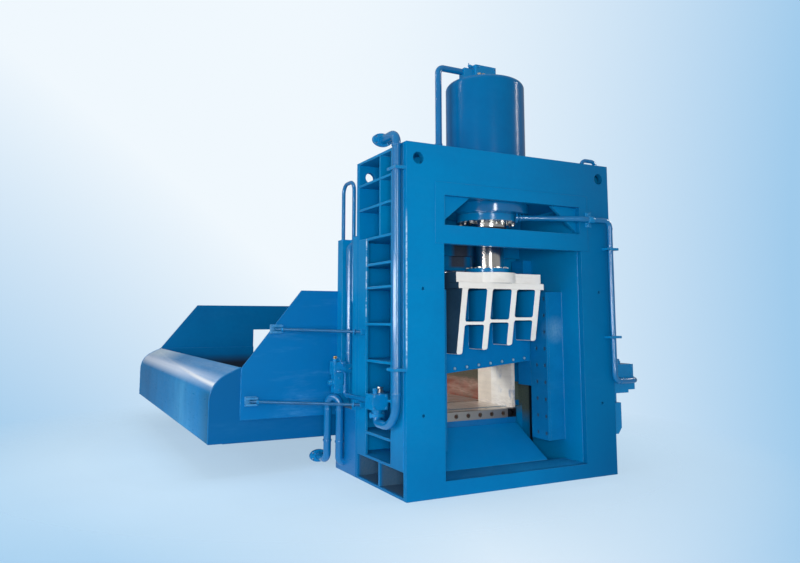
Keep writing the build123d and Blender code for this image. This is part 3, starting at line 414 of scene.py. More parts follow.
@dataclass(frozen=True)
class Enamel(Finish):
    """Machine paint over steel plate."""

    colour: Colour = srgb(0, 127, 187)
    deep: Colour = srgb(0, 119, 179)
    roughness: float = 0.38
    specular: float = 0.05
    coat: float = 0.0
    patch: float = 0.7
    dust: float = 0.06
    smear: float = 0.06
    wear: float = 0.15
    edge: float = 0.008
    peel: float = 0.00025
    coat_roughness: float = 0.12
    rough_drift: Span = (0.07, -0.04)

    def painted(self, s: Surface) -> Socket:
        """Paint with drift, dust, smudges and worn edges, whose pale colour is also a painted edge highlight.

        Args:
            s: nodes of the material, which keep the tone and the edges for the layers above.

        Returns:
            The colour of the paint.
        """
        s.tone = s.effect(EFFECTS.tone, patch=self.patch)
        s.edge = s.effect(EFFECTS.edges, radius=self.edge, wear=self.wear)
        colour = s.mix(s.tone["Tone"], self.deep, self.colour)
        colour = s.lay(colour, PALE_SMUDGE, s.effect(EFFECTS.smears, amount=self.smear)["Mask"])
        colour = s.lay(colour, DUST, s.effect(EFFECTS.dust, amount=self.dust)["Mask"])
        # chipped edges, pale as wear and as a painted highlight
        return s.lay(colour, CHIP_AND_EDGE_SHEEN, s.edge["Chip"])

    def shade(self, s: Surface) -> None:
        """Lead the paint and its coat into the shader.

        Args:
            s: nodes of the material.
        """
        colour = self.painted(s)
        rough = s.between(s.tone["Tone"], *(self.roughness + drift for drift in self.rough_drift))
        values = {"Base Color": colour, "Roughness": rough, "Specular IOR Level": self.specular,
                  "Coat Weight": self.coat, "Coat Roughness": self.coat_roughness}
        s.finish(values, s.tone["Peel"], self.peel)


@dataclass(frozen=True)
class ThroatEnamel(Enamel):
    """Paint of the columns, with painted shade in the cutting throat, at the foot of the pockets, behind the
    rod and low on the outside.
    """

    throat_x: Span = (0.84, 0.82)
    throat_y: Span = (0.345, 0.36)
    throat_z: Span = (0.99, 0.9)
    throat_shade_z: Span = (0.4, 0.56)
    band_y: Span = (0.415, 0.395)
    pocket_x: Span = (0.852, 1.19)
    pocket_z: Span = (0.235, 0.215)
    rod_shade_x: float = 0.02
    rod_shade_y: Span = (0.63, 0.61)
    rod_shade_z: Span = (2.1, 2.5)
    foot_x: Span = (1.15, 1.18)
    foot_z: Span = (0.62, 0.2)
    strip_x: Span = (1.19, 1.196)
    strip_y: Span = (0.349, 0.364)
    strip_z: Span = (1.5, 2.5)

    def painted(self, s: Surface) -> Socket:
        """Paint with painted shade laid over it in the throat, the pockets, behind the rod and at the foot,
        and chips with a painted glint on a strip.

        Args:
            s: nodes of the material.

        Returns:
            The colour of the paint.
        """
        colour = super().painted(s)
        across = s.math("ABSOLUTE", s.x)
        grain = s.effect(EFFECTS.rust, size=0.1, cover=0.6)["Grain"]
        # painted shade in the throat: near black in the band beside the guide, olive grey with grain further
        # back
        guide_shadow = s.remap(s.y, *self.band_y)
        throat_shade = s.mix(guide_shadow, s.mix(grain, srgb(48, 76, 76), srgb(108, 116, 104)), srgb(14, 34, 46))
        share = s.math("MAXIMUM", guide_shadow, s.remap(s.z, *self.throat_shade_z))
        inside = s.times(s.remap(across, *self.throat_x), s.remap(s.z, *self.throat_z))
        colour = s.lay(colour, throat_shade, inside, share, s.remap(s.y, *self.throat_y))
        # painted shade, dark brown grey at the foot of the pockets
        pocket_shade = s.mix(grain, srgb(32, 46, 46), srgb(92, 86, 74))
        pocket = s.window(across, *self.pocket_x, 0.004, 0.02)
        colour = s.lay(colour, pocket_shade, pocket, s.remap(s.z, *self.pocket_z, 0.0, 0.7))
        # painted shade of the dark interior behind the piston rod
        grime = s.mix(grain, srgb(54, 62, 76), srgb(78, 86, 100))
        aside = s.math("ABSOLUTE", s.math("SUBTRACT", s.x, self.rod_shade_x))
        behind_rod_shade = s.times(s.remap(aside, 0.13, 0.07), s.window(s.z, *self.rod_shade_z, 0.03, 0.1))
        colour = s.lay(colour, grime, behind_rod_shade, s.remap(s.y, *self.rod_shade_y))
        # painted shade: the outside of the columns darker towards the floor
        foot = s.remap(across, *self.foot_x)
        colour = s.lay(colour, srgb(0, 84, 140), foot, s.remap(s.z, *self.foot_z, 0.0, 0.5))
        # chips along the strip's edge, pale dashes that are also a painted glint
        strip = s.times(s.window(s.y, *self.strip_y, 0.002, 0.006), s.remap(across, *self.strip_x))
        chip_and_glint_dashes = s.remap(s.noise(s.place, 22.0, 2.0), 0.46, 0.54)
        return s.lay(colour, srgb(214, 236, 248), strip, s.window(s.z, *self.strip_z, 0.2, 0.2), chip_and_glint_dashes)


@dataclass(frozen=True)
class PlateEnamel(Enamel):
    """Paint of the front plate, darker to the right and below as painted shade, chipped along its left edge
    with a painted highlight.
    """

    edge_x: Span = (-1.19, -1.194)
    edge_y: Span = (FRONT_Y + 0.014, FRONT_Y + 0.01)
    edge_z: Span = (1.1, 2.55)
    shadow: Colour = srgb(0, 80, 130)
    shade_x: Span = (0.0, 1.1)
    shade_z: Span = (0.9, 0.1)

    def painted(self, s: Surface) -> Socket:
        """Paint with the painted shade and the chips with their painted highlight.

        Args:
            s: nodes of the material.

        Returns:
            The colour of the paint.
        """
        # painted shade, darker to the right and towards the floor
        aside, below = s.remap(s.x, *self.shade_x, 0.0, 0.45), s.remap(s.z, *self.shade_z, 0.0, 0.3)
        colour = s.lay(super().painted(s), self.shadow, s.math("ADD", aside, below))
        # chips along the left edge, pale dashes that are also a painted highlight on the edge
        rim = s.times(s.window(s.z, *self.edge_z, 0.2, 0.2), s.remap(s.x, *self.edge_x))
        chips_and_glints = s.remap(s.noise(s.place, 34.0, 4.0), 0.36, 0.56, 0.1, 0.85)
        return s.lay(colour, srgb(196, 226, 243), rim, s.remap(s.y, *self.edge_y), chips_and_glints)


@dataclass(frozen=True)
class BoxEnamel(Enamel):
    """Paint of the box ends: another tone and smudges beside the machine, painted shade low in the far
    corner.
    """

    near_colour: Colour = srgb(0, 114, 180)
    near_share: float = 0.5
    near_smear: float = 0.6
    near_y: Span = (1.8, 1.5)
    corner_shade_y: Span = (5.0, 5.1)
    corner_shade_z: Span = (0.95, 0.8)

    def painted(self, s: Surface) -> Socket:
        """Paint with the tone of the near end and the painted shade of the far one.

        Args:
            s: nodes of the material.

        Returns:
            The colour of the paint.
        """
        colour = super().painted(s)
        near = s.remap(s.y, *self.near_y)
        colour = s.lay(colour, self.near_colour, near, self.near_share)
        colour = s.lay(colour, PALE_SMUDGE, near, s.effect(EFFECTS.smears, amount=self.near_smear)["Mask"])
        # painted shade low on the inside of the far end, where the box is deep
        corner = s.times(s.remap(s.z, *self.corner_shade_z), s.remap(s.y, *self.corner_shade_y))
        return s.lay(colour, srgb(38, 36, 38), corner, s.remap(s.rear, -0.5, -0.8, 0.0, 0.9))


@dataclass(frozen=True)
class GuideEnamel(Enamel):
    """Paint of the slide guides, rubbed through to a pale patch on the front."""

    patch_at: Point = (0.715, -0.18, 1.44)
    patch_reach: Span = (0.16, 0.02)

    def painted(self, s: Surface) -> Socket:
        """Paint with the rubbed patch.

        Args:
            s: nodes of the material.

        Returns:
            The colour of the paint.
        """
        near = s.remap(s.measure("DISTANCE", s.place, self.patch_at), *self.patch_reach)
        specks = s.remap(s.noise(s.place, 40.0, 5.0), 0.3, 0.7, 0.3, 0.6)
        return s.lay(super().painted(s), srgb(118, 172, 206), near, specks)


@dataclass(frozen=True)
class BarrelEnamel(Enamel):
    """Paint of the cylinder barrel, wet with oil on the flange below the frame top."""

    oil_z: Span = (2.72, 2.71)

    def shade(self, s: Surface) -> None:
        """Paint with an oil film on its lower end."""
        super().shade(s)
        s.fill(s.shader, {"Coat Weight": s.remap(s.z, *self.oil_z, self.coat, 1.0)})


@dataclass(frozen=True)
class BracketEnamel(Enamel):
    """Paint of the stay brackets, rubbed pale on the charging box and whole on the frame."""

    pale: Colour = srgb(96, 158, 202)
    box_x: Span = (-1.5, -1.6)

    def painted(self, s: Surface) -> Socket:
        """Paint with the rubbed brackets."""
        colour = super().painted(s)
        return s.lay(colour, self.pale, s.remap(s.x, *self.box_x), s.tone["Tone"])


@dataclass(frozen=True)
class LipEnamel(Enamel):
    """Paint of the loading lip, scraped towards bare metal where scrap slides over it."""

    slope_x: Span = (-2.2, -1.9)
    reflection_y: tuple[float, float, float] = (1.7, 2.6, 3.8)
    shade_end_y: Span = (1.7, 1.2)
    band_y: Span = (1.3, 3.2)
    far_y: Span = (4.0, 5.6)
    line: tuple[float, float, float] = (-2.48, 0.00666, 0.00651)
    fade_y: Span = (2.2, 3.6)

    def shade(self, s: Surface) -> None:
        """Paint with runs down the side, a painted reflection along its middle and painted shade at its near
        end, scrapes on the slope that pale towards the far end, a painted highlight on the round edge, and
        rusty grime with painted shade inside the crease.

        Args:
            s: nodes of the material.
        """
        along, down = s.scrapes((16.0, 0.7, 16.0)), s.scrapes((1.0, 1.5, 0.5))["Mask"]
        upright = s.remap(s.up, 0.5, 0.2)
        ridge_highlight = s.times(s.remap(s.up, 0.3, 0.6), s.remap(s.up, 0.9, 0.72))
        slope = s.times(s.remap(s.up, 0.7, 0.9), s.remap(s.right, 0.3, 0.1))
        first, middle, last = self.reflection_y
        pale = s.times(s.remap(s.y, first, middle), s.remap(s.y, last, middle), upright)
        rust = s.effect(EFFECTS.rust, size=0.25, cover=0.7)["Mask"]
        grime = s.mix(rust, srgb(6, 66, 106), srgb(66, 70, 74))
        layers = (
            (srgb(26, 146, 210), down, s.remap(s.up, 0.7, 0.2, 0.1, 0.62)),
            # painted reflection, a paler patch along the middle of the side
            (srgb(92, 182, 228), pale, s.remap(down, 0.0, 0.8, 0.15, 0.6)),
            # painted shade on the side near the machine end
            (srgb(0, 96, 142), upright, s.remap(s.y, *self.shade_end_y, 0.0, 0.95)),
            (srgb(136, 164, 200), slope, s.remap(along["Mask"], 0.1, 0.8, 0.2, 0.62)),
            (srgb(206, 226, 242), slope, s.remap(s.y, *self.far_y, 0.0, 0.8)),
            # painted highlight along the round edge
            (srgb(212, 226, 248), ridge_highlight, s.remap(s.y, *self.band_y, 0.45, 0.95)),
            # painted highlight, a thin bright line on the round edge
            (srgb(250, 252, 255), self.highlight_line(s)),
            # rusty grime and painted shade on the slope inside the crease
            (grime, s.remap(s.x, *self.slope_x, 0.0, 0.8)),
        )
        colour = self.painted(s)
        for layer in layers:
            colour = s.lay(colour, *layer)
        values = {"Base Color": colour, "Roughness": s.between(along["Fine"], 0.34, 0.26),
                  "Specular IOR Level": self.specular}
        s.finish(values, along["Fine"], 0.00003)

    def highlight_line(self, s: Surface) -> Socket:
        """Thin painted highlight line on the round edge, which fades towards the far end.

        Args:
            s: nodes of the material.

        Returns:
            The mask of the line.
        """
        start, rise, bend = self.line
        run = s.math("SUBTRACT", s.y, self.shade_end_y[1])
        curve = s.times(run, s.math("ADD", s.times(run, bend), rise))
        away = s.math("ABSOLUTE", s.math("SUBTRACT", s.x, s.math("ADD", curve, start)))
        fade = s.remap(s.y, *self.fade_y, 0.75, 0.12)
        return s.times(s.remap(away, 0.018, 0.004), fade, s.remap(s.up, 0.35, 0.45))


@dataclass(frozen=True)
class FrontWhite(Enamel):
    """Blue paint with white brushed over the faces that look to the front."""

    specular: float = 0.1
    white: Colour = srgb(250, 249, 246)
    tops: bool = False
    shaded_end_x: Span = (-0.452, -0.455)
    lit_front_tone: Colour = srgb(0, 134, 198)
    underside_shade: Colour = srgb(0, 56, 88)
    shade_depth_y: Span = (0.06, -0.06)

    def shade(self, s: Surface) -> None:
        """White where the face looks forward, and upward where asked, with scuffs, and painted shade deep in
        the pockets, under overhangs and on the left end.

        Args:
            s: nodes of the material.
        """
        colour = self.painted(s)
        tone = s.tone["Tone"]
        white = s.mix(tone, srgb(243, 240, 233), self.white)
        white = s.lay(white, srgb(176, 172, 160), s.effect(EFFECTS.smears, amount=0.35)["Mask"])
        white = s.lay(white, srgb(196, 198, 200), s.edge["Chip"])
        end = s.remap(s.x, *self.shaded_end_x)
        # painted light and shade: the rib sides lighter towards the front and darker deep in the pockets
        colour = s.lay(colour, self.lit_front_tone, s.remap(s.y, *self.shade_depth_y))
        # painted shade on faces that look down
        colour = s.lay(colour, self.underside_shade, s.remap(s.up, -0.3, -0.8))
        # painted shade on the left end of the slide
        colour = s.lay(colour, s.mix(tone, srgb(40, 72, 96), srgb(54, 88, 114)), end)
        foot = s.math("ADD", s.times(s.x, RIB_FOOT[1]), RIB_FOOT[0])
        rim = s.remap(s.math("SUBTRACT", s.z, foot), 0.014, 0.008, 0.0, 0.8)
        rim = s.times(rim, s.math("SUBTRACT", 1.0, end))
        front = s.math("MAXIMUM", s.remap(s.rear, -0.3, -0.6), rim)
        if self.tops:
            front = s.math("MAXIMUM", front, s.remap(s.up, 0.3, 0.6))
        values = {"Base Color": s.lay(colour, white, front), "Roughness": s.between(tone, 0.5, 0.4),
                  "Specular IOR Level": self.specular}
        s.finish(values, s.tone["Peel"], self.peel)


@dataclass(frozen=True)
class BoxWall(Enamel):
    """Painted outside of the charging box wall with a scraped, rusting inside."""

    rust_z: Span = (0.9, 0.82)

    def shade(self, s: Surface) -> None:
        """Paint outside, rust and scrape marks on the face towards the channel.

        Args:
            s: nodes of the material.
        """
        colour = self.painted(s)
        inside = s.remap(s.right, -0.5, -0.8)
        rust = s.effect(EFFECTS.rust, size=0.35, cover=1.0)
        low = s.remap(s.math("ADD", s.z, s.times(rust["Grain"], 0.1)), *self.rust_z)
        plate = s.mix(rust["Grain"], srgb(58, 58, 50), srgb(98, 92, 78))
        plate = s.lay(plate, srgb(124, 74, 62), low, rust["Mask"])
        plate = s.lay(plate, srgb(164, 142, 128), low, s.scrapes((6.0, 1.2, 9.0))["Mask"])
        values = {"Base Color": s.lay(colour, plate, inside), "Specular IOR Level": self.specular,
                  "Roughness": s.between(inside, self.roughness, 0.55)}
        s.finish(values, s.tone["Peel"], self.peel)


@dataclass(frozen=True)
class WornTop(Enamel):
    """Paint on plates whose top is scraped to bare steel by the scrap that slides over it."""

    def shade(self, s: Surface) -> None:
        """Bare scraped steel on faces that look up, paint elsewhere.

        Args:
            s: nodes of the material.
        """
        colour = self.painted(s)
        bare = s.remap(s.up, 0.6, 0.9)
        scrape = s.scrapes((9.0, 1.0, 9.0))
        steel = s.mix(scrape["Mask"], srgb(214, 206, 198), srgb(140, 124, 112))
        values = {"Base Color": s.lay(colour, steel, bare), "Metallic": s.times(bare, 0.7),
                  "Roughness": s.between(scrape["Fine"], 0.36, 0.26), "Specular IOR Level": self.specular}
        s.finish(values, scrape["Fine"], 0.0002)


@dataclass(frozen=True)
class TurnedNeck(Enamel):
    """Painted ring round an upright axis, with its neck and its underside left as turned steel."""

    neck: Span = (0.24, 0.232)

    def shade(self, s: Surface) -> None:
        """Turned steel near the axis, paint outside.

        Args:
            s: nodes of the material.
        """
        colour = self.painted(s)
        bare = s.remap(s.measure("LENGTH", s.stretched(s.place, (1.0, 1.0, 0.0))), *self.neck)
        turned = s.scrapes((2.0, 2.0, 120.0))["Mask"]
        steel = s.mix(turned, srgb(222, 222, 220), srgb(150, 146, 142))
        values = {"Base Color": s.lay(colour, steel, bare), "Metallic": bare,
                  "Roughness": s.between(bare, self.roughness, 0.16), "Specular IOR Level": self.specular}
        s.finish(values, s.tone["Peel"], self.peel)


@dataclass(frozen=True)
class ChannelPlate(Finish):
    """Bare side plates of the feed channel: pale near the blade, beige further back, with overspray."""

    seam_y: Span = (0.826, 0.834)
    low_z: Span = (0.72, 0.6)
    spray_y: Span = (0.7, 0.6)
    spray_z: Span = (0.75, 1.25)

    def shade(self, s: Surface) -> None:
        """Two tones with scratches, overspray near the edges and a little rust.

        Args:
            s: nodes of the material.
        """
        tone = s.effect(EFFECTS.tone, patch=0.3)["Tone"]
        scratch = s.scrapes((9.0, 2.0, 26.0), 0.25)
        pale = s.mix(tone, srgb(234, 226, 214), srgb(244, 240, 232))
        beige = s.mix(tone, srgb(216, 204, 188), srgb(234, 222, 206))
        colour = s.lay(pale, beige, s.remap(s.y, *self.seam_y))
        colour = s.lay(colour, srgb(164, 156, 148), scratch["Mask"])
        colour = s.lay(colour, srgb(186, 176, 172), s.remap(s.z, *self.low_z, 0.0, 0.8), scratch["Fine"])
        spray = s.remap(s.noise(s.place, 5.0, 5.0), 0.56, 0.74)
        rim = s.math("MAXIMUM", s.remap(s.z, *self.spray_z), s.remap(s.y, *self.spray_y, 0.0, 1.4))
        colour = s.lay(colour, srgb(40, 112, 170), spray, rim)
        colour = s.lay(colour, RUST_LIGHT, s.effect(EFFECTS.rust, size=0.05, cover=0.22)["Mask"])
        rough = s.between(scratch["Fine"], 0.5, 0.36)
        s.finish({"Base Color": colour, "Roughness": rough}, scratch["Fine"], 0.0004)


@dataclass(frozen=True)
class Metal(Finish):
    """Bare metal with brushing, grime and rust."""

    colour: Colour
    dark: Colour = srgb(90, 92, 98)
    roughness: float = 0.3
    metallic: float = 1.0
    brush: Point = (40.0, 40.0, 4.0)
    grime: float = 0.3
    rust: float = 0.0
    depth: float = 0.0002

    def shade(self, s: Surface) -> None:
        """Brushed metal with its tone, grime and rust.

        Args:
            s: nodes of the material.
        """
        tone = s.effect(EFFECTS.tone, patch=0.2)["Tone"]
        brushed = s.scrapes(self.brush)
        s.edge = s.effect(EFFECTS.edges, radius=0.002, wear=0.0)
        colour = s.lay(self.colour, self.dark, brushed["Mask"], self.grime)
        rough = s.between(tone, self.roughness * 1.25, self.roughness * 0.8)
        metallic = self.metallic
        if self.rust:
            bloom = s.effect(EFFECTS.rust, size=0.12, cover=self.rust)
            colour = s.lay(colour, s.mix(bloom["Grain"], RUST_DARK, RUST_LIGHT), bloom["Mask"])
            rough = s.math("MAXIMUM", rough, s.times(bloom["Mask"], 0.7))
            metallic = s.between(bloom["Mask"], self.metallic, 0.1)
        values = {"Base Color": colour, "Roughness": rough, "Metallic": metallic}
        s.finish(values, brushed["Fine"], self.depth)


@dataclass(frozen=True)
class Rubber(Finish):
    """Matt moulded rubber with a dusty bloom."""

    def shade(self, s: Surface) -> None:
        """Near-black with a fine grain.

        Args:
            s: nodes of the material.
        """
        tone = s.effect(EFFECTS.tone, patch=0.08)
        colour = s.mix(tone["Tone"], srgb(22, 22, 24), srgb(48, 48, 50))
        rough = s.between(tone["Tone"], 0.75, 0.55)
        s.finish({"Base Color": colour, "Roughness": rough}, tone["Peel"], 0.0004)


@dataclass(frozen=True)
class PaleFloor(Finish):
    """Softly glowing floor that fades into the backdrop round the machine."""

    centre: Point
    reach: Span

    def shade(self, s: Surface) -> None:
        """Two close tones, clear past the reach.

        Args:
            s: nodes of the material.
        """
        drift = s.noise(s.place, 0.7, 3.0)
        s.fill(s.shader, {
            "Base Color": s.mix(drift, srgb(121, 139, 153), srgb(126, 144, 157)),
            "Emission Color": s.mix(drift, srgb(166, 190, 208), srgb(172, 196, 214)),
            "Emission Strength": 0.975, "Roughness": 0.9, "Specular IOR Level": 0.05,
            "Alpha": s.remap(s.measure("DISTANCE", s.place, self.centre), *self.reach, 1.0, 0.0)})


PLATE_BLUE = PlateEnamel("plate_blue")
REAR_BLUE = ThroatEnamel("rear_blue", throat_shade_z=(0.5, 0.62))
COLUMN_BLUE = ThroatEnamel("column_blue", srgb(0, 130, 188), srgb(0, 120, 178), specular=0.1, wear=0.45)
WELD_BLUE = Enamel("weld_blue", srgb(0, 122, 184), srgb(0, 112, 174), specular=0.3, roughness=0.3, wear=0.0,
                   edge=0.001, patch=0.1)
BEAM_BLUE = Enamel("beam_blue", dust=0.12)
# a lighter copy of the blue paint, painted light on the chute inside the window
CHUTE_BLUE = Enamel("chute_blue", srgb(0, 142, 212), srgb(0, 134, 204), patch=1.6, dust=0.02)
BARREL_BLUE = BarrelEnamel("barrel_blue", srgb(0, 104, 160), srgb(0, 95, 150), roughness=0.2, specular=0.12,
                           patch=1.2, smear=0.05, wear=0.0, dust=0.1)
FLANGE_BLUE = Enamel("flange_blue", roughness=0.16, specular=0.4, patch=0.3, wear=0.3)
PIPE_BLUE = Enamel("pipe_blue", srgb(0, 112, 170), srgb(0, 102, 160), roughness=0.16, specular=0.5, coat=0.4,
                   patch=0.3, smear=0.04, wear=0.3, edge=0.003)
ROD_BLUE = Enamel("rod_blue", srgb(0, 92, 142), srgb(0, 78, 124), roughness=0.3, specular=0.3, patch=0.2,
                  edge=0.003)
FITTING_BLUE = Enamel("fitting_blue", roughness=0.26, specular=0.3, patch=0.2, wear=0.6, edge=0.004,
                      dust=0.12)
BOX_BLUE = BoxEnamel("box_blue", srgb(0, 109, 169), srgb(0, 99, 157), edge=0.009, patch=1.1)
END_BLUE = BoxEnamel("end_blue", srgb(0, 109, 169), srgb(0, 99, 157), patch=1.1,
                     near_colour=srgb(0, 90, 146), near_share=0.9, near_smear=0.1)
# a lighter copy of the blue paint, painted light on the slide plate behind the front plate
SLIDE_BLUE = Enamel("slide_blue", srgb(0, 121, 186), srgb(0, 112, 175), smear=0.12)
GUIDE_BLUE = GuideEnamel("guide_blue", srgb(10, 122, 182), srgb(4, 112, 170), smear=0.2, patch=0.3)
BRACKET_BLUE = BracketEnamel("bracket_blue", wear=0.4, patch=0.12, smear=0.3)
LIP_BLUE = LipEnamel("lip_blue", srgb(0, 134, 200), srgb(0, 118, 180), smear=0.1, specular=0.02)
RIB_WHITE = FrontWhite("rib_white", srgb(0, 104, 154), srgb(0, 92, 140))
CROWN_WHITE = FrontWhite("crown_white", tops=True)
WALL_BLUE = BoxWall("wall_blue", smear=0.2)
BED_BLUE = WornTop("bed_blue", srgb(0, 110, 172), srgb(0, 102, 163), wear=0.4, specular=0.3)
GLAND_BLUE = TurnedNeck("gland_blue", roughness=0.18, specular=0.4, wear=0.3)
CHANNEL_PLATE = ChannelPlate("channel_plate")
HARD_CHROME = Metal("hard_chrome", srgb(228, 226, 222), srgb(120, 104, 94), roughness=0.14,
                    brush=(26.0, 26.0, 0.8), grime=0.6, depth=0.00004)
# pale heads that stand in for glints: a painted highlight on the blade bolts
GLINT_STEEL = Metal("glint_steel", srgb(140, 188, 218), srgb(60, 124, 170), roughness=0.4, metallic=0.15)
TURNED_STEEL = Metal("turned_steel", srgb(178, 180, 184), brush=(3.0, 3.0, 160.0))
BLADE_STEEL = Metal("blade_steel", srgb(138, 128, 114), srgb(92, 82, 70), roughness=0.42, metallic=0.5,
                    brush=(1.5, 30.0, 40.0), grime=0.8, rust=0.3)
RUSTY_PLATE = Metal("rusty_plate", srgb(134, 124, 118), srgb(104, 90, 82), roughness=0.48, metallic=0.5,
                    brush=(4.0, 2.6, 4.0), grime=0.7, rust=0.72, depth=0.0006)
BOLT_STEEL = Metal("bolt_steel", srgb(60, 66, 74), srgb(28, 30, 34), roughness=0.4, grime=0.6, rust=0.16)
PAINTED_BOLT = Metal("painted_bolt", srgb(34, 92, 130), srgb(12, 52, 82), roughness=0.45, metallic=0.1,
                     grime=0.5)
RUSTY_BOLT = Metal("rusty_bolt", srgb(84, 62, 52), srgb(48, 34, 28), roughness=0.5, metallic=0.5, grime=0.6,
                   rust=0.6)
ZINC_STEEL = Metal("zinc_steel", srgb(206, 206, 200), srgb(150, 146, 134), roughness=0.28)
BRASS = Metal("brass", srgb(190, 166, 120), srgb(120, 92, 54), roughness=0.24, grime=0.45)
BRONZE = Metal("bronze", srgb(182, 138, 82), srgb(120, 84, 46), roughness=0.35, brush=(30.0, 30.0, 3.0),
               grime=0.5)
RUBBER = Rubber("wiper_rubber")


NODE_FINISHES: dict[Finish, tuple[str, ...]] = {
    PLATE_BLUE: ("front_plate",),
    REAR_BLUE: ("rear_plate",),
    COLUMN_BLUE: ("side_columns", "base_plate", "portal_columns", "portal_beam"),
    BED_BLUE: ("rear_bed", "anvil"),
    CHUTE_BLUE: ("discharge_chute",),
    BEAM_BLUE: ("top_beam", "corner_gussets", "hold_down_platen"),
    FLANGE_BLUE: ("rod_flange",),
    GLAND_BLUE: ("cylinder_gland",),
    BARREL_BLUE: ("cylinder_barrel", "hold_down_barrel"),
    PIPE_BLUE: ("left_oil_pipe", "right_oil_pipe", "rear_oil_pipe", "hold_down_pipes", "top_oil_pipe",
                "lifting_loop"),
    ROD_BLUE: ("stay_rods",),
    FITTING_BLUE: ("top_valve_block", "left_valve_block", "right_valve_block", "right_side_box",
                   "rear_valve_block", "port_flanges", "pipe_clamps"),
    BOX_BLUE: ("box_cheeks", "box_diaphragms", "box_sleepers"),
    END_BLUE: ("lip_end_plates",),
    SLIDE_BLUE: ("slide_plate", "rear_guide_bars"),
    GUIDE_BLUE: ("guide_blocks", "guide_liners"),
    BRACKET_BLUE: ("stay_brackets",),
    LIP_BLUE: ("loading_lip",),
    RIB_WHITE: ("slide_ribs",),
    CROWN_WHITE: ("slide_crown",),
    WALL_BLUE: ("box_right_wall",),
    CHANNEL_PLATE: ("channel_liners",),
    HARD_CHROME: ("piston_rod", "hold_down_rod"),
    TURNED_STEEL: ("piston",),
    BLADE_STEEL: ("upper_blade", "lower_blade"),
    RUSTY_PLATE: ("box_floor",),
    BOLT_STEEL: ("lower_blade_stop", "hold_down_bolts"),
    PAINTED_BOLT: ("guide_liner_bolts", "upper_blade_bolts"),
    RUSTY_BOLT: ("lower_blade_bolts",),
    ZINC_STEEL: ("rod_flange_bolts", "gland_bolts"),
    BRONZE: ("guide_wear_strips", "hold_down_bush"),
    RUBBER: ("rod_wiper",),
}


def coat_mesh(mesh: Mesh, finish: Finish) -> None:
    """Give a mesh one finish."""
    mesh.materials.clear()
    mesh.materials.append(finish.build())


def paint_nodes() -> None:
    """Give each CAD node its finish, and stop if one is left without."""
    bare = set(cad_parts)
    for finish, names in NODE_FINISHES.items():
        for name in names:
            coat_mesh(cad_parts[name].data, finish)
            bare.discard(name)
            LOG.info("node %s in %s", name, finish.name)
    if bare:
        raise ValueError(f"nodes without a finish: {sorted(bare)}")


def new_object(name: str, data: bpy.types.ID) -> bpy.types.Object:
    """Add an object to the scene.

    Args:
        name: name of the object.
        data: what it shows.

    Returns:
        The new object.
    """
    added = bpy.data.objects.new(name, data)
    bpy.context.scene.collection.objects.link(added)
    return added


def add_piece(name: str, mesh: Mesh, finish: Finish, body: Body) -> None:
    """Put a finished mesh in the scene and let it ride on a body.

    Args:
        name: name of the piece.
        mesh: mesh with its place in its points.
        finish: finish to assign.
        body: body that the piece moves with.
    """
    mesh.name = name
    coat_mesh(mesh, finish)
    piece = new_object(name, mesh)
    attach(piece, body.value)
    LOG.info("piece %s on %s, %d faces", name, body.value, len(mesh.polygons))


def mesh_from(build: Build, sharp_angle: float = PLATE_EDGE) -> Mesh:
    """Mesh of a finished build, smooth except at sharp edges.

    Args:
        build: the shape, which is freed.
        sharp_angle: angle in radians past which an edge stays sharp.

    Returns:
        The new mesh.
    """
    bmesh.ops.remove_doubles(build, verts=build.verts, dist=1e-6)
    bmesh.ops.recalc_face_normals(build, faces=build.faces)
    for face in build.faces:
        face.smooth = True
    for edge in build.edges:
        edge.smooth = len(edge.link_faces) == 2 and edge.calc_face_angle(0.0) < sharp_angle
    mesh = bpy.data.meshes.new("build")
    build.to_mesh(mesh)
    build.free()
    return mesh


def plain_mesh(holder: bpy.types.Object) -> Mesh:
    """Plain mesh of an object as it is evaluated.

    Args:
        holder: object with its modifiers, which is removed.

    Returns:
        The new mesh.
    """
    mesh = bpy.data.meshes.new_from_object(holder.evaluated_get(bpy.context.evaluated_depsgraph_get()))
    holder.modifiers.clear()
    bpy.data.objects.remove(holder)
    return mesh


def turn_to(origin: Point, axis: Point) -> Matrix:
    """Matrix that stands local Z on a point along an axis."""
    return Matrix.Translation(origin) @ Vector(axis).to_track_quat("Z", "Y").to_matrix().to_4x4()


def circle(place: Matrix, radius: float, height: float, steps: int) -> list[Point]:
    """Ring of points round local Z.

    Args:
        place: where local Z stands.
        radius: radius of the ring.
        height: height of the ring above the place.
        steps: number of points.

    Returns:
        The points, in order.
    """
    turns = [2 * math.pi * i / steps for i in range(steps)]
    ring = [(radius * math.cos(a), radius * math.sin(a), height) for a in turns]
    return [tuple(place @ Vector(point)) for point in ring]


def lathe(build: Build, profile: Profile, place: Matrix, sides: int = ROUND) -> None:
    """Add a turned shape.

    Args:
        build: shape that is added to.
        profile: radius and height of each step, from axis to axis.
        place: where the turning axis, local Z, stands.
        sides: number of facets round the axis.
    """
    rings = []
    for radius, height in profile:
        points = circle(place, radius, height, sides if radius else 1)
        verts = [build.verts.new(point) for point in points]
        rings.append(verts if radius else verts * sides)
    for low, high in zip(rings, rings[1:]):
        for i in range(sides):
            j = (i + 1) % sides
            corners = list(dict.fromkeys((low[i], low[j], high[j], high[i])))
            if len(corners) > 2:
                build.faces.new(corners)


def thicken(build: Build, faces: list[bmesh.types.BMFace], run: Point) -> list[bmesh.types.BMVert]:
    """Extrude faces into a solid.

    Args:
        build: shape that the faces belong to.
        faces: faces of one end.
        run: vector from that end to the other.

    Returns:
        The points of the other end.
    """
    made = bmesh.ops.extrude_face_region(build, geom=faces)
    moved = [item for item in made["geom"] if isinstance(item, bmesh.types.BMVert)]
    bmesh.ops.translate(build, verts=moved, vec=Vector(run))
    return moved


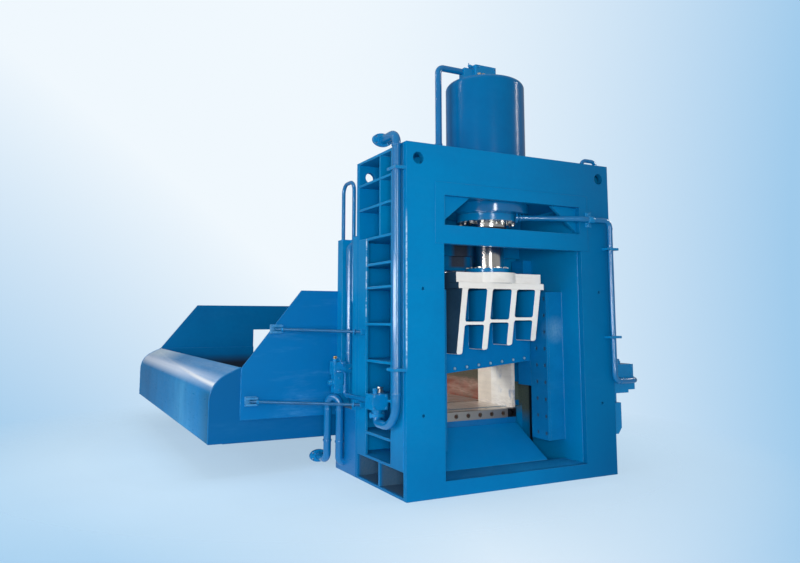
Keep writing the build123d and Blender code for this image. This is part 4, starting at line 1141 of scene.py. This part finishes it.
def prism(build: Build, outline: list[Point], run: Point, bevel: float) -> None:
    """Add a plate or bar from an outline.

    Args:
        build: shape that is added to.
        outline: corners of one end, in order.
        run: vector from that end to the other.
        bevel: width of the broken edges.
    """
    base = build.faces.new([build.verts.new(point) for point in outline])
    moved = thicken(build, [base], run)
    faces = {face for vert in (*base.verts, *moved) for face in vert.link_faces}
    edges = {edge for face in faces for edge in face.edges}
    bmesh.ops.bevel(build, geom=list(edges), offset=bevel, segments=2, profile=0.5, affect="EDGES")


def tube_mesh(points: tuple[Point, ...], radius: float) -> Mesh:
    """Bent tube along a smooth line through control points.

    Args:
        points: control points of the line.
        radius: outer radius of the tube.

    Returns:
        The mesh of the tube.
    """
    curve = bpy.data.curves.new("tube", "CURVE")
    curve.dimensions = "3D"
    curve.bevel_depth = radius
    curve.bevel_resolution = 3
    curve.use_fill_caps = True
    spline = curve.splines.new("NURBS")
    spline.points.add(len(points) - 1)
    for node, point in zip(spline.points, points):
        node.co = (*point, 1.0)
    spline.order_u = 3
    spline.use_endpoint_u = True
    spline.resolution_u = 8
    return plain_mesh(new_object("tube", curve))


class NodeTools:
    """Geometry Nodes trees for what repeats or follows a path."""

    @cached_property
    def hex_heads(self) -> Tree:
        """Hexagon heads on washers, one at each point, scaled by its size.

        Returns:
            The tree, which takes the height of the head and the radius of the washer at size 1.
        """
        inputs = ("Guide", "Head Height", "Washer Radius", "Finish")
        g, start, end = start_group(TreeKind.GEOMETRY, "hex_heads", inputs, ("Geometry",))
        height, seat, washer_seat = start["Head Height"], 0.16, 0.09
        middle = g.math("ADD", g.times(height, 0.5), seat)
        crown = {"Vertices": HEX, "Radius Top": 0.8, "Radius Bottom": 1.0, "Depth": 0.1}
        washer = {"Vertices": 16, "Radius": start["Washer Radius"], "Depth": 0.2}
        parts = (
            ("GeometryNodeMeshCylinder", {"Vertices": HEX, "Radius": 1.0, "Depth": height}, middle),
            ("GeometryNodeMeshCone", crown, g.math("ADD", height, seat)),
            ("GeometryNodeMeshCylinder", washer, washer_seat),
        )
        joined = g.add("GeometryNodeJoinGeometry")
        for kind, sizes, rise in parts:
            lift = g.add("ShaderNodeCombineXYZ", {"Z": rise}).outputs[0]
            part = {"Geometry": g.add(kind, sizes).outputs["Mesh"], "Translation": lift}
            g.feed(joined.inputs[0], g.add("GeometryNodeTransform", part).outputs[0])
        return self.close(g, self.spread(g, start, joined.outputs[0]), start, end)

    @cached_property
    def collars(self) -> Tree:
        """Turned collars round a pipe, one at each point, scaled by its size.

        Returns:
            The tree, which takes the width of the collar at size 1.
        """
        inputs = ("Guide", "Width", "Finish")
        g, start, end = start_group(TreeKind.GEOMETRY, "pipe_collars", inputs, ("Geometry",))
        ring = g.add("GeometryNodeCurvePrimitiveCircle", {"Resolution": ROUND, "Radius": 1.0})
        section = g.add("GeometryNodeCurvePrimitiveQuadrilateral", {0: 0.24, 1: start["Width"]})
        corner = {"Curve": section.outputs[0], "Radius": 0.05, "Count": 2}
        eased = g.add("GeometryNodeFilletCurve", corner, mode="POLY")
        swept = {"Curve": ring.outputs[0], "Profile Curve": eased.outputs[0]}
        body = g.add("GeometryNodeCurveToMesh", swept)
        smooth = g.add("GeometryNodeSetShadeSmooth", {"Geometry": body.outputs[0]})
        return self.close(g, self.spread(g, start, smooth.outputs[0]), start, end)

    @cached_property
    def beads(self) -> Tree:
        """Weld beads along the edges of the guide, with the ripple of a hand weld.

        Returns:
            The tree, which takes the radius of the bead and the pitch of its ripple.
        """
        inputs = ("Guide", "Radius", "Pitch", "Finish")
        g, start, end = start_group(TreeKind.GEOMETRY, "weld_beads", inputs, ("Geometry",))
        path = g.add("GeometryNodeMeshToCurve", {"Mesh": start["Guide"]})
        steps = {"Curve": path.outputs[0], "Length": start["Pitch"]}
        fine = g.add("GeometryNodeResampleCurve", steps, mode="LENGTH")
        index = g.add("GeometryNodeInputIndex").outputs[0]
        ripple = {"ID": index, "Seed": 7, 2: 0.72, 3: 1.2}
        wave = g.add("FunctionNodeRandomValue", ripple, data_type="FLOAT").outputs[1]
        rippled = g.add("GeometryNodeSetCurveRadius", {"Curve": fine.outputs[0], "Radius": wave})
        section = g.add("GeometryNodeCurvePrimitiveCircle", {"Resolution": 6, "Radius": start["Radius"]})
        swept = {"Curve": rippled.outputs[0], "Profile Curve": section.outputs[0], "Fill Caps": True,
                 "Scale": wave}
        body = g.add("GeometryNodeCurveToMesh", swept)
        smooth = g.add("GeometryNodeSetShadeSmooth", {"Geometry": body.outputs[0]})
        return self.close(g, smooth.outputs[0], start, end)

    @staticmethod
    def spread(g: Graph, start: Outputs, instance: Socket) -> Socket:
        """Set a part on every point of the guide.

        Args:
            g: graph of the tree.
            start: sockets that bring the tree's inputs in.
            instance: the part.

        Returns:
            The parts, turned and scaled as the points say.
        """
        facing = g.add("GeometryNodeInputNamedAttribute", {"Name": "facing"}, data_type="FLOAT_VECTOR")
        size = g.add("GeometryNodeInputNamedAttribute", {"Name": "size"}, data_type="FLOAT")
        turn = g.add("FunctionNodeAlignRotationToVector", {"Vector": facing.outputs[0]}, axis="Z")
        places = {"Points": start["Guide"], "Instance": instance, "Rotation": turn.outputs[0],
                  "Scale": size.outputs[0]}
        return g.add("GeometryNodeInstanceOnPoints", places).outputs[0]

    @staticmethod
    def close(g: Graph, geometry: Socket, start: Outputs, end: Node) -> Tree:
        """End a tree in realised instances and its material.

        Args:
            g: graph of the tree.
            geometry: what the tree has made.
            start: sockets that bring the tree's inputs in.
            end: output node.

        Returns:
            The finished tree.
        """
        plain = g.add("GeometryNodeRealizeInstances", {"Geometry": geometry}).outputs[0]
        coated = g.add("GeometryNodeSetMaterial", {"Geometry": plain, "Material": start["Finish"]})
        g.fill(end, {"Geometry": coated.outputs[0]})
        return g.tree


TOOLS = NodeTools()


def run_tool(tree: Tree, guide: Mesh, values: dict[str, object]) -> Mesh:
    """Run a Geometry Nodes tree once on a guide.

    Args:
        tree: the tree.
        guide: mesh with the places or paths.
        values: inputs of the tree by name.

    Returns:
        The plain mesh that it makes, with its material.
    """
    sockets = [item for item in tree.interface.items_tree if item.item_type == "SOCKET"]
    identifiers = {item.name: item.identifier for item in sockets if item.in_out == "INPUT"}
    holder = new_object("guide", guide)
    modifier = holder.modifiers.new("tree", "NODES")
    modifier.node_group = tree
    for name, value in values.items():
        modifier[identifiers[name]] = value
    return plain_mesh(holder)


@dataclass(frozen=True)
class Grid:
    """Equal small parts at every crossing of lines along X, Y and Z."""

    xs: Levels
    ys: Levels
    zs: Levels
    facing: Point
    size: float


@dataclass
class Spots:
    """Places on one body where the same small part is repeated."""

    points: list[Point] = field(default_factory=list)
    facings: list[Point] = field(default_factory=list)
    sizes: list[float] = field(default_factory=list)

    def put(self, point: Point, facing: Point, size: float) -> None:
        """Add one place.

        Args:
            point: where the part stands.
            facing: the way it faces.
            size: its radius.
        """
        self.points.append(tuple(point))
        self.facings.append(tuple(facing))
        self.sizes.append(size)

    def put_grids(self, *grids: Grid) -> None:
        """Add the places of some grids.

        Args:
            grids: grids that are added in order.
        """
        for grid in grids:
            for point in product(grid.xs, grid.ys, grid.zs):
                self.put(point, grid.facing, grid.size)

    def guide(self) -> Mesh:
        """Guide mesh with one point for each place.

        Returns:
            The mesh, with the facing and the size of each point.
        """
        mesh = bpy.data.meshes.new("spots")
        mesh.from_pydata(self.points, [], [])
        facing = mesh.attributes.new("facing", "FLOAT_VECTOR", "POINT")
        facing.data.foreach_set("vector", [value for vector in self.facings for value in vector])
        size = mesh.attributes.new("size", "FLOAT", "POINT")
        size.data.foreach_set("value", self.sizes)
        return mesh


@dataclass
class Seams:
    """Weld paths on one body."""

    paths: list[list[Point]] = field(default_factory=list)

    def run(self, *points: Point) -> None:
        """Add one open path."""
        self.paths.append(list(points))

    def ring(self, centre: Point, radius: float, steps: int) -> None:
        """Add one closed ring round an upright axis."""
        points = circle(turn_to(centre, UP), radius, 0.0, steps)
        self.paths.append(points + points[:1])

    def guide(self) -> Mesh:
        """Guide mesh with the paths as chains of edges.

        Returns:
            The mesh, in which a ring's last edge leads back to its first point.
        """
        points, edges = [], []
        for path in self.paths:
            first = len(points)
            closed = path[0] == path[-1]
            kept = path[:-1] if closed else path
            points += kept
            edges += [(first + i, first + i + 1) for i in range(len(kept) - 1)]
            if closed:
                edges.append((first + len(kept) - 1, first))
        mesh = bpy.data.meshes.new("seams")
        mesh.from_pydata(points, edges, [])
        return mesh


@dataclass
class Gantry:
    """Welds, slot doubler and pipe saddle of the gantry frame."""

    half_width: float = 1.2
    web_x: float = 0.85
    rib_levels: Levels = (0.248, 0.468, 0.81, 1.15, 1.501, 1.852, 2.078, 2.335, 2.648, 2.9)
    rib_half: float = 0.013
    rib_drop: float = 0.0125
    depth: float = 1.095
    plate: float = 0.06
    window_x: float = 0.81
    window_z: Span = (0.16, 2.23)
    guide_x: float = 0.811
    guide_y: float = back(0.32)
    guide_z: Span = (0.33, 1.83)
    corner_shade_z: Span = (0.26, 3.14)
    doubler_half: float = 0.905
    doubler_z: Span = (2.236, 2.806)
    doubler_t: float = 0.004
    slot_half: float = 0.803
    slot_z: Span = (2.408, 2.685)
    saddle_x: float = 0.872
    saddle_axis: Span = (FRONT_Y - 0.045, 2.56)
    saddle_r: float = 0.036
    saddle_run: Point = (0.075, 0.0, 0.0)
    saddle_bevel: float = 0.003
    arch_steps: int = 10
    ear_t: float = 0.014
    ear_h: float = 0.04
    ear_bevel: float = 0.002
    ear_shifts: Span = (-0.075, 0.035)
    screws: tuple[Grid, ...] = (
        Grid((-1.308,), (back(0.02), back(0.152)), (1.11, 2.905), LEFT, 0.011),  # clamps of the left riser
        Grid((1.106, 1.224), (FRONT_Y - 0.085,), (1.367, 2.267), FRONT, 0.01),  # clamps of the return line
        Grid((saddle_x + 0.037,), (FRONT_Y - ear_t,), (2.505, 2.615), FRONT, 0.011),  # ears of the saddle
    )

    def seams(self, seams: Seams) -> None:
        """Weld paths in the ladder cells, round the window and along the corners.

        Args:
            seams: paths that are added to.
        """
        near, far = back(self.plate), back(self.depth - self.plate)
        uprights = ((self.window_x, near, self.window_z), (self.guide_x, self.guide_y, self.guide_z),
                    (self.half_width, near, self.corner_shade_z))
        for side in (-1, 1):
            web, end = side * self.web_x, side * self.half_width
            for level in self.rib_levels:
                for z in (level - self.rib_half, level + self.rib_half):
                    seams.run((web, near, z), (web, far, z))
                y = near + STAND_OFF
                seams.run((web, y, level), (end, y, level - self.rib_drop))
            for x, y, (low, high) in uprights:
                seams.run((side * x, y, low), (side * x, y, high))

    def dress(self) -> None:
        """Doubler plate round the upper slot, and the saddle of the return line."""
        build = bmesh.new()
        y = FRONT_Y - self.doubler_t
        rings = []
        for half, (low, high) in ((self.doubler_half, self.doubler_z), (self.slot_half, self.slot_z)):
            corners = ((-half, y, low), (half, y, low), (half, y, high), (-half, y, high))
            rings.append([build.verts.new(corner) for corner in corners])
        outer, inner = rings
        faces = [build.faces.new((outer[i - 1], outer[i], inner[i], inner[i - 1])) for i in (1, 2, 3, 0)]
        thicken(build, faces, (0.0, self.doubler_t, 0.0))
        add_piece("slot_doubler", mesh_from(build), PLATE_BLUE, Body.FRAME)
        self.saddle()

    def saddle(self) -> None:
        """Arched saddle that holds the return line to the front plate."""
        y, z = self.saddle_axis
        radius, x = self.saddle_r, self.saddle_x
        turns = [math.pi / 2 - math.pi * i / self.arch_steps for i in range(self.arch_steps + 1)]
        arch = [(x, y - radius * math.cos(a), z + radius * math.sin(a)) for a in turns]
        build = bmesh.new()
        outline = [(x, FRONT_Y, z + radius), *arch, (x, FRONT_Y, z - radius)]
        prism(build, outline, self.saddle_run, self.saddle_bevel)
        face = FRONT_Y - self.ear_t
        for low in (z + shift for shift in self.ear_shifts):
            high = low + self.ear_h
            prism(build, [(x, FRONT_Y, low), (x, face, low), (x, face, high), (x, FRONT_Y, high)],
                  self.saddle_run, self.ear_bevel)
        add_piece("return_line_saddle", mesh_from(build), FITTING_BLUE, Body.FRAME)


@dataclass
class ShearCylinder:
    """Seams and top fittings of the shear cylinder."""

    dome: float = 4.05
    loop_y: float = back(0.105)
    rings: tuple[tuple[float, float, float, int], ...] = (
        (0.0, 0.0, 0.41, 64), (-0.566, 0.0, 0.033, 20), (0.945, loop_y, 0.02, 16), (1.135, loop_y, 0.02, 16))
    dome_nuts: Grid = Grid((-0.145, -0.095, -0.04, 0.015, 0.066), (-0.122, 0.082), (dome,), UP, 0.02)
    screws: tuple[Grid, ...] = (Grid((-0.14, 0.063), (-0.088,), (4.095, 4.16), FRONT, 0.008),)
    bleed_at: Point = (-0.204, -0.048, 4.166)
    bleed: Profile = ((0.0, 0.0), (0.017, 0.0), (0.017, 0.012), (0.009, 0.014), (0.009, 0.03), (0.0, 0.03))
    handle_at: Point = (-0.226, -0.048, 4.134)
    handle: Profile = ((0.0, 0.0), (0.004, 0.002), (0.005, 0.006), (0.005, 0.058), (0.004, 0.062),
                       (0.0, 0.064))

    def seams(self, seams: Seams) -> None:
        """Fillet welds round the barrel, the pipe and the lifting loop on the frame top."""
        for x, y, radius, steps in self.rings:
            seams.ring((x, y, FRAME_TOP), radius, steps)

    def dress(self) -> None:
        """Bleed screw with its cross handle on the left of the valve block."""
        build = bmesh.new()
        lathe(build, self.bleed, turn_to(self.bleed_at, LEFT))
        lathe(build, self.handle, turn_to(self.handle_at, UP), THIN_ROUND)
        add_piece("bleed_screw", mesh_from(build), FITTING_BLUE, Body.FRAME)


@dataclass
class OilFittings:
    """Small fittings on the valve blocks and pipes."""

    left_y: float = back(0.46)
    rear_y: float = back(1.3275)
    flange_x: Span = (-1.318, -1.194)
    flange_y: float = back(0.475)
    screws: tuple[Grid, ...] = (
        Grid((-1.334, -1.216), (back(0.366),), (0.748, 0.856), FRONT, 0.009),  # left valve block
        Grid((-1.352, -1.248), (back(1.265),), (1.0, 1.1), FRONT, 0.009),  # rear valve block
        Grid((-1.305,), (back(1.277),), (0.83, 0.95), FRONT, 0.01),  # foot of the rear block
        Grid((1.222, 1.462), (back(0.02),), (0.975, 1.065), FRONT, 0.01),  # right valve block
        Grid(flange_x, (flange_y,), (0.692,), UP, 0.012),  # flange under the left block
        Grid(flange_x, (flange_y,), (0.662,), DOWN, 0.012),
    )
    unions: tuple[Grid, ...] = (
        Grid((-1.256,), (back(0.086),), (0.9, 3.125), UP, 0.041),  # left riser
        Grid((1.165,), (FRONT_Y - 0.045,), (2.48, 1.02), UP, 0.029),  # return line
        Grid((1.24,), (FRONT_Y - 0.045,), (0.925,), RIGHT, 0.029),
        Grid((-0.566,), (0.0,), (3.3,), UP, 0.034),  # filling line
        Grid((-1.328,), (back(1.528),), (0.3, 0.62), UP, 0.041),  # both legs of the rear port line
        Grid((-1.246,), (back(1.4),), (0.3, 0.62), UP, 0.041),
        Grid((-1.262,), (back(0.58), back(1.15)), (0.788,), REAR, 0.023),  # line from block to block
        Grid((-1.163,), (back(1.349),), (1.2, 2.1), UP, 0.041),  # hold-down riser
    )
    port_at: Point = (0.165, -0.263, 2.566)
    port_axis: Point = (0.635, -0.282, -0.006)
    port_unions: Profile = ((0.014, 0.05), (0.05, 0.037), (0.085, 0.032))
    gauge_at: Point = (-1.232, left_y, 0.876)
    gauge: Profile = ((0.0, 0.0), (0.034, 0.0), (0.036, 0.004), (0.036, 0.02), (0.033, 0.024),
                      (0.02, 0.024), (0.02, 0.03), (0.027, 0.031), (0.028, 0.034), (0.028, 0.05),
                      (0.025, 0.054), (0.0, 0.056))
    gauge_neck: Profile = ((0.0, 0.022), (0.021, 0.022), (0.021, 0.033), (0.0, 0.033))
    plug: Profile = ((0.0, 0.0), (0.026, 0.0), (0.026, 0.016), (0.023, 0.02), (0.011, 0.02), (0.01, 0.014),
                     (0.0, 0.014))
    plug_places: tuple[tuple[Point, Point], ...] = (
        ((1.545, back(0.11), 0.895), RIGHT), ((1.35, back(0.11), 1.115), UP),
        ((-1.382, rear_y, 0.905), LEFT), ((-1.284, left_y, 0.896), UP))
    valve_at: Point = (-1.332, rear_y, 1.145)
    valve: Profile = ((0.0, 0.0), (0.02, 0.0), (0.02, 0.01), (0.011, 0.012), (0.011, 0.022), (0.0, 0.022))
    stem_rise: float = 0.018
    stem_axis: Point = (0.88, -0.48, 0.0)
    stem: Profile = ((0.0, -0.014), (0.007, -0.014), (0.009, -0.01), (0.009, 0.022), (0.0, 0.024))
    tube_r: float = 0.0065
    tubes: tuple[tuple[Point, ...], ...] = (
        ((-1.312, rear_y - 0.01, 1.161), (-1.302, rear_y - 0.03, 1.157), (-1.296, rear_y - 0.075, 1.115),
         (-1.27, rear_y - 0.09, 1.085), (-1.262, rear_y - 0.06, 1.07)),
        ((-1.139, 0.817, 1.3), (-1.13, 0.803, 1.2), (-1.128, 0.795, 1.12), (-1.145, 0.782, 1.06),
         (-1.186, 0.785, 1.04), (-1.192, 0.8, 1.034)))

    def collars(self, collars: Spots) -> None:
        """Union collars on the lines and at the port where the return line begins.

        Args:
            collars: places that are added to.
        """
        collars.put_grids(*self.unions)
        along = Vector(self.port_axis).normalized()
        for reach, size in self.port_unions:
            collars.put(Vector(self.port_at) + along * reach, along, size)

    def dress(self) -> None:
        """Gauge fitting, cartridge plugs, and the pilot valve with its thin tubes."""
        gauge, plugs, valve, tubes = (bmesh.new() for _ in range(4))
        lathe(gauge, self.gauge, turn_to(self.gauge_at, UP), HEX)
        lathe(gauge, self.gauge_neck, turn_to(self.gauge_at, UP))
        add_piece("gauge_fitting", mesh_from(gauge, HEX_EDGE), ZINC_STEEL, Body.FRAME)
        for place, axis in self.plug_places:
            lathe(plugs, self.plug, turn_to(place, axis), HEX)
        add_piece("cartridge_plugs", mesh_from(plugs, HEX_EDGE), FITTING_BLUE, Body.FRAME)
        x, y, z = self.valve_at
        lathe(valve, self.valve, turn_to(self.valve_at, UP), HEX)
        lathe(valve, self.stem, turn_to((x, y, z + self.stem_rise), self.stem_axis), THIN_ROUND)
        add_piece("pilot_valve", mesh_from(valve, HEX_EDGE), BRASS, Body.FRAME)
        for points in self.tubes:
            tubes.from_mesh(tube_mesh(points, self.tube_r))
        add_piece("pilot_tubes", mesh_from(tubes, TUBE_EDGE), PIPE_BLUE, Body.FRAME)


@dataclass
class ChargingBox:
    """Welds and stay nuts of the charging box."""

    lip_x: float = -2.53
    arc_z: float = 0.742
    arc_r: float = 0.28
    arc_steps: int = 16
    slope: float = math.radians(25.0)
    foot_z: float = 0.33
    lip_ends: Span = (back(1.65), back(6.875))
    crease: Span = (-2.222, 1.0640)
    cheek_foot: float = 0.548
    cheeks: tuple[Span, ...] = ((back(1.625), -1.2), (back(6.9), 0.69))
    wall_x: float = 0.69
    wall_z: Span = (0.356, 1.759)
    rib_depths: Levels = (1.9, 2.78, 3.66, 4.54, 5.42, 6.3)
    rib_t: float = 0.02
    stays: tuple[tuple[Point, Point], ...] = (((-1.9, 1.055, 1.447), (-1.23, 0.405, 1.424)),
                                              ((-2.145, 1.055, 0.731), (-1.23, 0.405, 0.721)))
    stay_nut: float = 0.021
    nut_reach: Span = (0.075, 0.06)

    def lip_line(self, y: float) -> list[Point]:
        """Outline of the lip at one end.

        Args:
            y: where the end is.

        Returns:
            Points from the foot of the lip to its crease.
        """
        centre_x = self.lip_x + self.arc_r
        sweep = math.pi / 2 - self.slope
        turns = [math.pi - sweep * i / self.arc_steps for i in range(self.arc_steps + 1)]
        arc = [(centre_x + self.arc_r * math.cos(a), y, self.arc_z + self.arc_r * math.sin(a)) for a in turns]
        return [(self.lip_x, y, self.foot_z), *arc, (self.crease[0], y, self.crease[1])]

    def seams(self, seams: Seams) -> None:
        """Welds along the lip ends, round the end cheeks and on the wall's ribs.

        Args:
            seams: paths that are added to.
        """
        for y in self.lip_ends:
            seams.run(*self.lip_line(y))
        x, z = self.crease
        for y, end in self.cheeks:
            seams.run((x, y, self.cheek_foot), (x, y, z))
            seams.run((x, y, self.cheek_foot), (end, y, self.cheek_foot))
        low, high = self.wall_z
        for depth in self.rib_depths:
            for y in (back(depth) - STAND_OFF, back(depth + self.rib_t) + STAND_OFF):
                seams.run((self.wall_x, y, low), (self.wall_x, y, high))

    def fasten(self, heads: Spots) -> None:
        """Nuts on both ends of the stay rods.

        Args:
            heads: places that are added to.
        """
        near, far = self.nut_reach
        for start, end in self.stays:
            along = (Vector(end) - Vector(start)).normalized()
            heads.put(Vector(start) + along * near, along, self.stay_nut)
            heads.put(Vector(end) - along * far, -along, self.stay_nut)


@dataclass
class Slide:
    """Welds and blade bolts of the shear slide."""

    ribs: Levels = (-0.427, -0.138, 0.155, 0.447)
    rib_t: float = 0.065
    weld_rise: float = 0.012
    rear_y: float = back(0.6)
    top: float = 1.845
    edge_z: float = 1.055
    edge_rake: float = math.tan(math.radians(5.5))
    bolt_pitch: float = 0.1437
    bolt_count: int = 8
    bolt_shift: float = 0.022
    bolt_rise: float = 0.035
    bolt_size: float = 0.01

    def fasten(self, heads: Spots) -> None:
        """Heads of the blade bolts above the lower edge of the plate.

        Args:
            heads: places that are added to.
        """
        for i in range(self.bolt_count):
            x = self.bolt_shift + self.bolt_pitch * (i - (self.bolt_count - 1) / 2)
            z = self.edge_z + x * self.edge_rake + self.bolt_rise
            heads.put((x, self.rear_y + STAND_OFF, z), FRONT, self.bolt_size)

    def seams(self, seams: Seams) -> None:
        """Welds of the ribs to the slide plate.

        Args:
            seams: paths that are added to.
        """
        level, rake = RIB_FOOT
        for x in self.ribs:
            for side in (x - self.rib_t / 2, x + self.rib_t / 2):
                foot = level + side * rake + self.weld_rise
                seams.run((side, self.rear_y, foot), (side, self.rear_y, self.top))


@dataclass(frozen=True)
class Lamp:
    """One area light, which either lights the machine or shows only as a highlight in it."""

    name: str
    place: Point
    target: Point
    size: Span
    power: float
    colour: Colour = (1.0, 1.0, 1.0)
    mirrored: bool = False
    spread: float = math.pi

    def hang(self) -> None:
        """Add the light to the scene."""
        light = bpy.data.lights.new(self.name, "AREA")
        light.shape = "RECTANGLE"
        light.size, light.size_y = self.size
        light.energy = self.power
        light.color = self.colour
        light.spread = self.spread
        lamp = new_object(self.name, light)
        aim = (Vector(self.target) - Vector(self.place)).to_track_quat("-Z", "Y")
        lamp.matrix_world = Matrix.Translation(self.place) @ aim.to_matrix().to_4x4()
        lamp.visible_glossy, lamp.visible_diffuse = self.mirrored, not self.mirrored


@dataclass
class Studio:
    """Pale floor, soft light and the camera at the photograph's angle."""

    eye: Point = (-4.0528, -5.9141, 1.551)
    yaw: float = 0.4757
    pitch: float = 0.1189
    focal_px: float = 694.28
    centre_y: float = 236.0
    image: tuple[int, int] = (800, 563)
    sensor: float = 36.0
    floor_centre: Point = (-0.6, 2.6, 0.0)
    floor_reach: Span = (3.0, 5.4)
    floor_margin: float = 0.2
    fill_power: Span = (0.42, 0.36)
    drop_right: Point = (0.889, -0.458, 0.0)
    drop_slant: Point = (0.7458, -0.5176, 0.993)
    right_fade: Span = (-0.18, 0.49)
    slant_fade: Span = (-0.2, -0.72)
    lamps: tuple[Lamp, ...] = (
        Lamp("front_light", (-4.9, -7.6, 1.7), (0.0, 0.0, 1.5), (2.2, 2.0), 440.0),
        Lamp("left_light", (-9.0, -1.0, 2.8), (-1.0, 0.6, 1.3), (3.0, 3.0), 220.0),
        Lamp("top_light", (-1.0, 1.5, 9.0), (-0.5, 1.5, 1.0), (5.0, 5.0), 220.0, (0.97, 0.99, 1.0)),
        Lamp("right_strip", (7.5, -2.8, 5.95), (0.0, 0.0, 3.5), (0.45, 2.3), 140.0, (1.0, 0.92, 0.86), True),
        Lamp("left_strip", (-7.6, 2.5, 7.4), (0.0, 0.0, 3.6), (0.45, 1.6), 80.0, (1.0, 0.94, 0.96), True),
        Lamp("near_strip", (-8.1, -4.9, 2.4), (-0.4, -0.2, 2.0), (0.45, 4.6), 200.0, mirrored=True),
        Lamp("low_strip", (-4.35, -1.26, 1.82), (-1.25, -0.43, 1.82), (5.0, 0.96), 140.0, mirrored=True),
        Lamp("middle_strip", (-1.8, -9.3, 2.4), (0.0, 0.0, 2.4), (1.1, 4.6), 340.0, mirrored=True),
        Lamp("channel_light", (-1.5, 4.2, 3.4), (0.6, 0.8, 0.75), (1.0, 1.0), 20.0, (1.0, 0.99, 0.97),
             spread=0.9),
    )

    def build(self) -> None:
        """Add the floor, the world, the lights and the camera."""
        self.floor()
        self.world()
        for lamp in self.lamps:
            lamp.hang()
        self.camera()

    def floor(self) -> None:
        """Plain round floor under the machine."""
        build = bmesh.new()
        bmesh.ops.create_circle(build, cap_ends=True, segments=96,
                                radius=self.floor_reach[1] + self.floor_margin)
        bmesh.ops.translate(build, verts=build.verts, vec=self.floor_centre)
        mesh = bpy.data.meshes.new("floor")
        build.to_mesh(mesh)
        build.free()
        coat_mesh(mesh, PaleFloor("pale_floor", self.floor_centre, self.floor_reach))
        floor = new_object("floor", mesh)

    def world(self) -> None:
        """Backdrop that is pale in a slanting band and bluer to both sides, and an even fill light."""
        world = bpy.data.worlds.new("studio")
        world.use_nodes = True
        bpy.context.scene.world = world
        g = Graph(world.node_tree)
        path = g.add("ShaderNodeLightPath").outputs
        light = {"Color": srgb(244, 247, 250), "Strength": g.between(path["Is Glossy Ray"], *self.fill_power)}
        fill = g.fill(world.node_tree.nodes["Background"], light)
        direction = g.add("ShaderNodeTexCoord").outputs["Generated"]
        aside = g.remap(g.measure("DOT_PRODUCT", direction, self.drop_right), *self.right_fade)
        low_left = g.remap(g.measure("DOT_PRODUCT", direction, self.drop_slant), *self.slant_fade)
        shade = g.math("MAXIMUM", g.times(aside, aside), low_left)
        sky = g.mix(shade, srgb(240, 248, 254), srgb(160, 203, 236))
        drop = g.add("ShaderNodeBackground", {"Color": sky})
        both = {0: path["Is Camera Ray"], 1: fill.outputs[0], 2: drop.outputs[0]}
        seen = g.add("ShaderNodeMixShader", both).outputs[0]
        g.fill(world.node_tree.nodes["World Output"], {"Surface": seen})

    def camera(self) -> None:
        """Camera where the photograph was taken from."""
        width, height = self.image
        data = bpy.data.cameras.new("camera")
        data.sensor_width = self.sensor
        data.lens = self.focal_px * self.sensor / width
        data.shift_y = (self.centre_y - height / 2) / width
        data.clip_end = 200.0
        camera = new_object("camera", data)
        level = math.cos(self.pitch)
        forward = Vector((math.sin(self.yaw) * level, math.cos(self.yaw) * level, math.sin(self.pitch)))
        right = Vector((math.cos(self.yaw), -math.sin(self.yaw), 0.0))
        turn = Matrix((right, right.cross(forward), -forward)).transposed().to_4x4()
        camera.matrix_world = Matrix.Translation(self.eye) @ turn
        bpy.context.scene.camera = camera
        bpy.context.scene.view_settings.view_transform = "Standard"


def main() -> None:
    """Dress the machine, sub-assembly by sub-assembly, and set the stage."""
    logging.basicConfig(level=logging.INFO, format="%(name)s %(message)s")
    Studio().build()
    paint_nodes()
    gantry, cylinder, fittings, box, slide = Gantry(), ShearCylinder(), OilFittings(), ChargingBox(), Slide()
    frame_seams, slide_seams = Seams(), Seams()
    heads, nuts, collars, blade_heads = Spots(), Spots(), Spots(), Spots()
    for part in (gantry, cylinder, box):
        part.seams(frame_seams)
    slide.seams(slide_seams)
    slide.fasten(blade_heads)
    heads.put_grids(*gantry.screws, *cylinder.screws, *fittings.screws)
    nuts.put_grids(cylinder.dome_nuts)
    box.fasten(heads)
    fittings.collars(collars)
    for part in (gantry, cylinder, fittings):
        part.dress()
    bead = {"Radius": 0.006, "Pitch": 0.014}
    head, nut, low_head = ({"Head Height": height, "Washer Radius": 1.35} for height in (0.7, 1.3, 0.6))
    repeats = (
        ("frame_welds", TOOLS.beads, frame_seams, bead, WELD_BLUE, Body.FRAME, Slot.BLUE),
        ("slide_welds", TOOLS.beads, slide_seams, bead, WELD_BLUE, Body.SLIDE, Slot.BLUE),
        ("painted_screws", TOOLS.hex_heads, heads, head, FITTING_BLUE, Body.FRAME, Slot.BLUE),
        ("dome_nuts", TOOLS.hex_heads, nuts, nut, ZINC_STEEL, Body.FRAME, Slot.MACHINED),
        # pale blade bolt heads, a painted glint
        ("blade_bolt_heads", TOOLS.hex_heads, blade_heads, low_head, GLINT_STEEL, Body.SLIDE,
         Slot.MACHINED),
        ("pipe_collars", TOOLS.collars, collars, {"Width": 0.5}, PIPE_BLUE, Body.FRAME, Slot.BLUE),
    )
    for name, tree, places, sizes, finish, body, slot in repeats:
        mesh = run_tool(tree, places.guide(), {**sizes, "Finish": finish.build()})
        add_piece(name, mesh, finish, body)


if __name__ == "__main__":
    main()
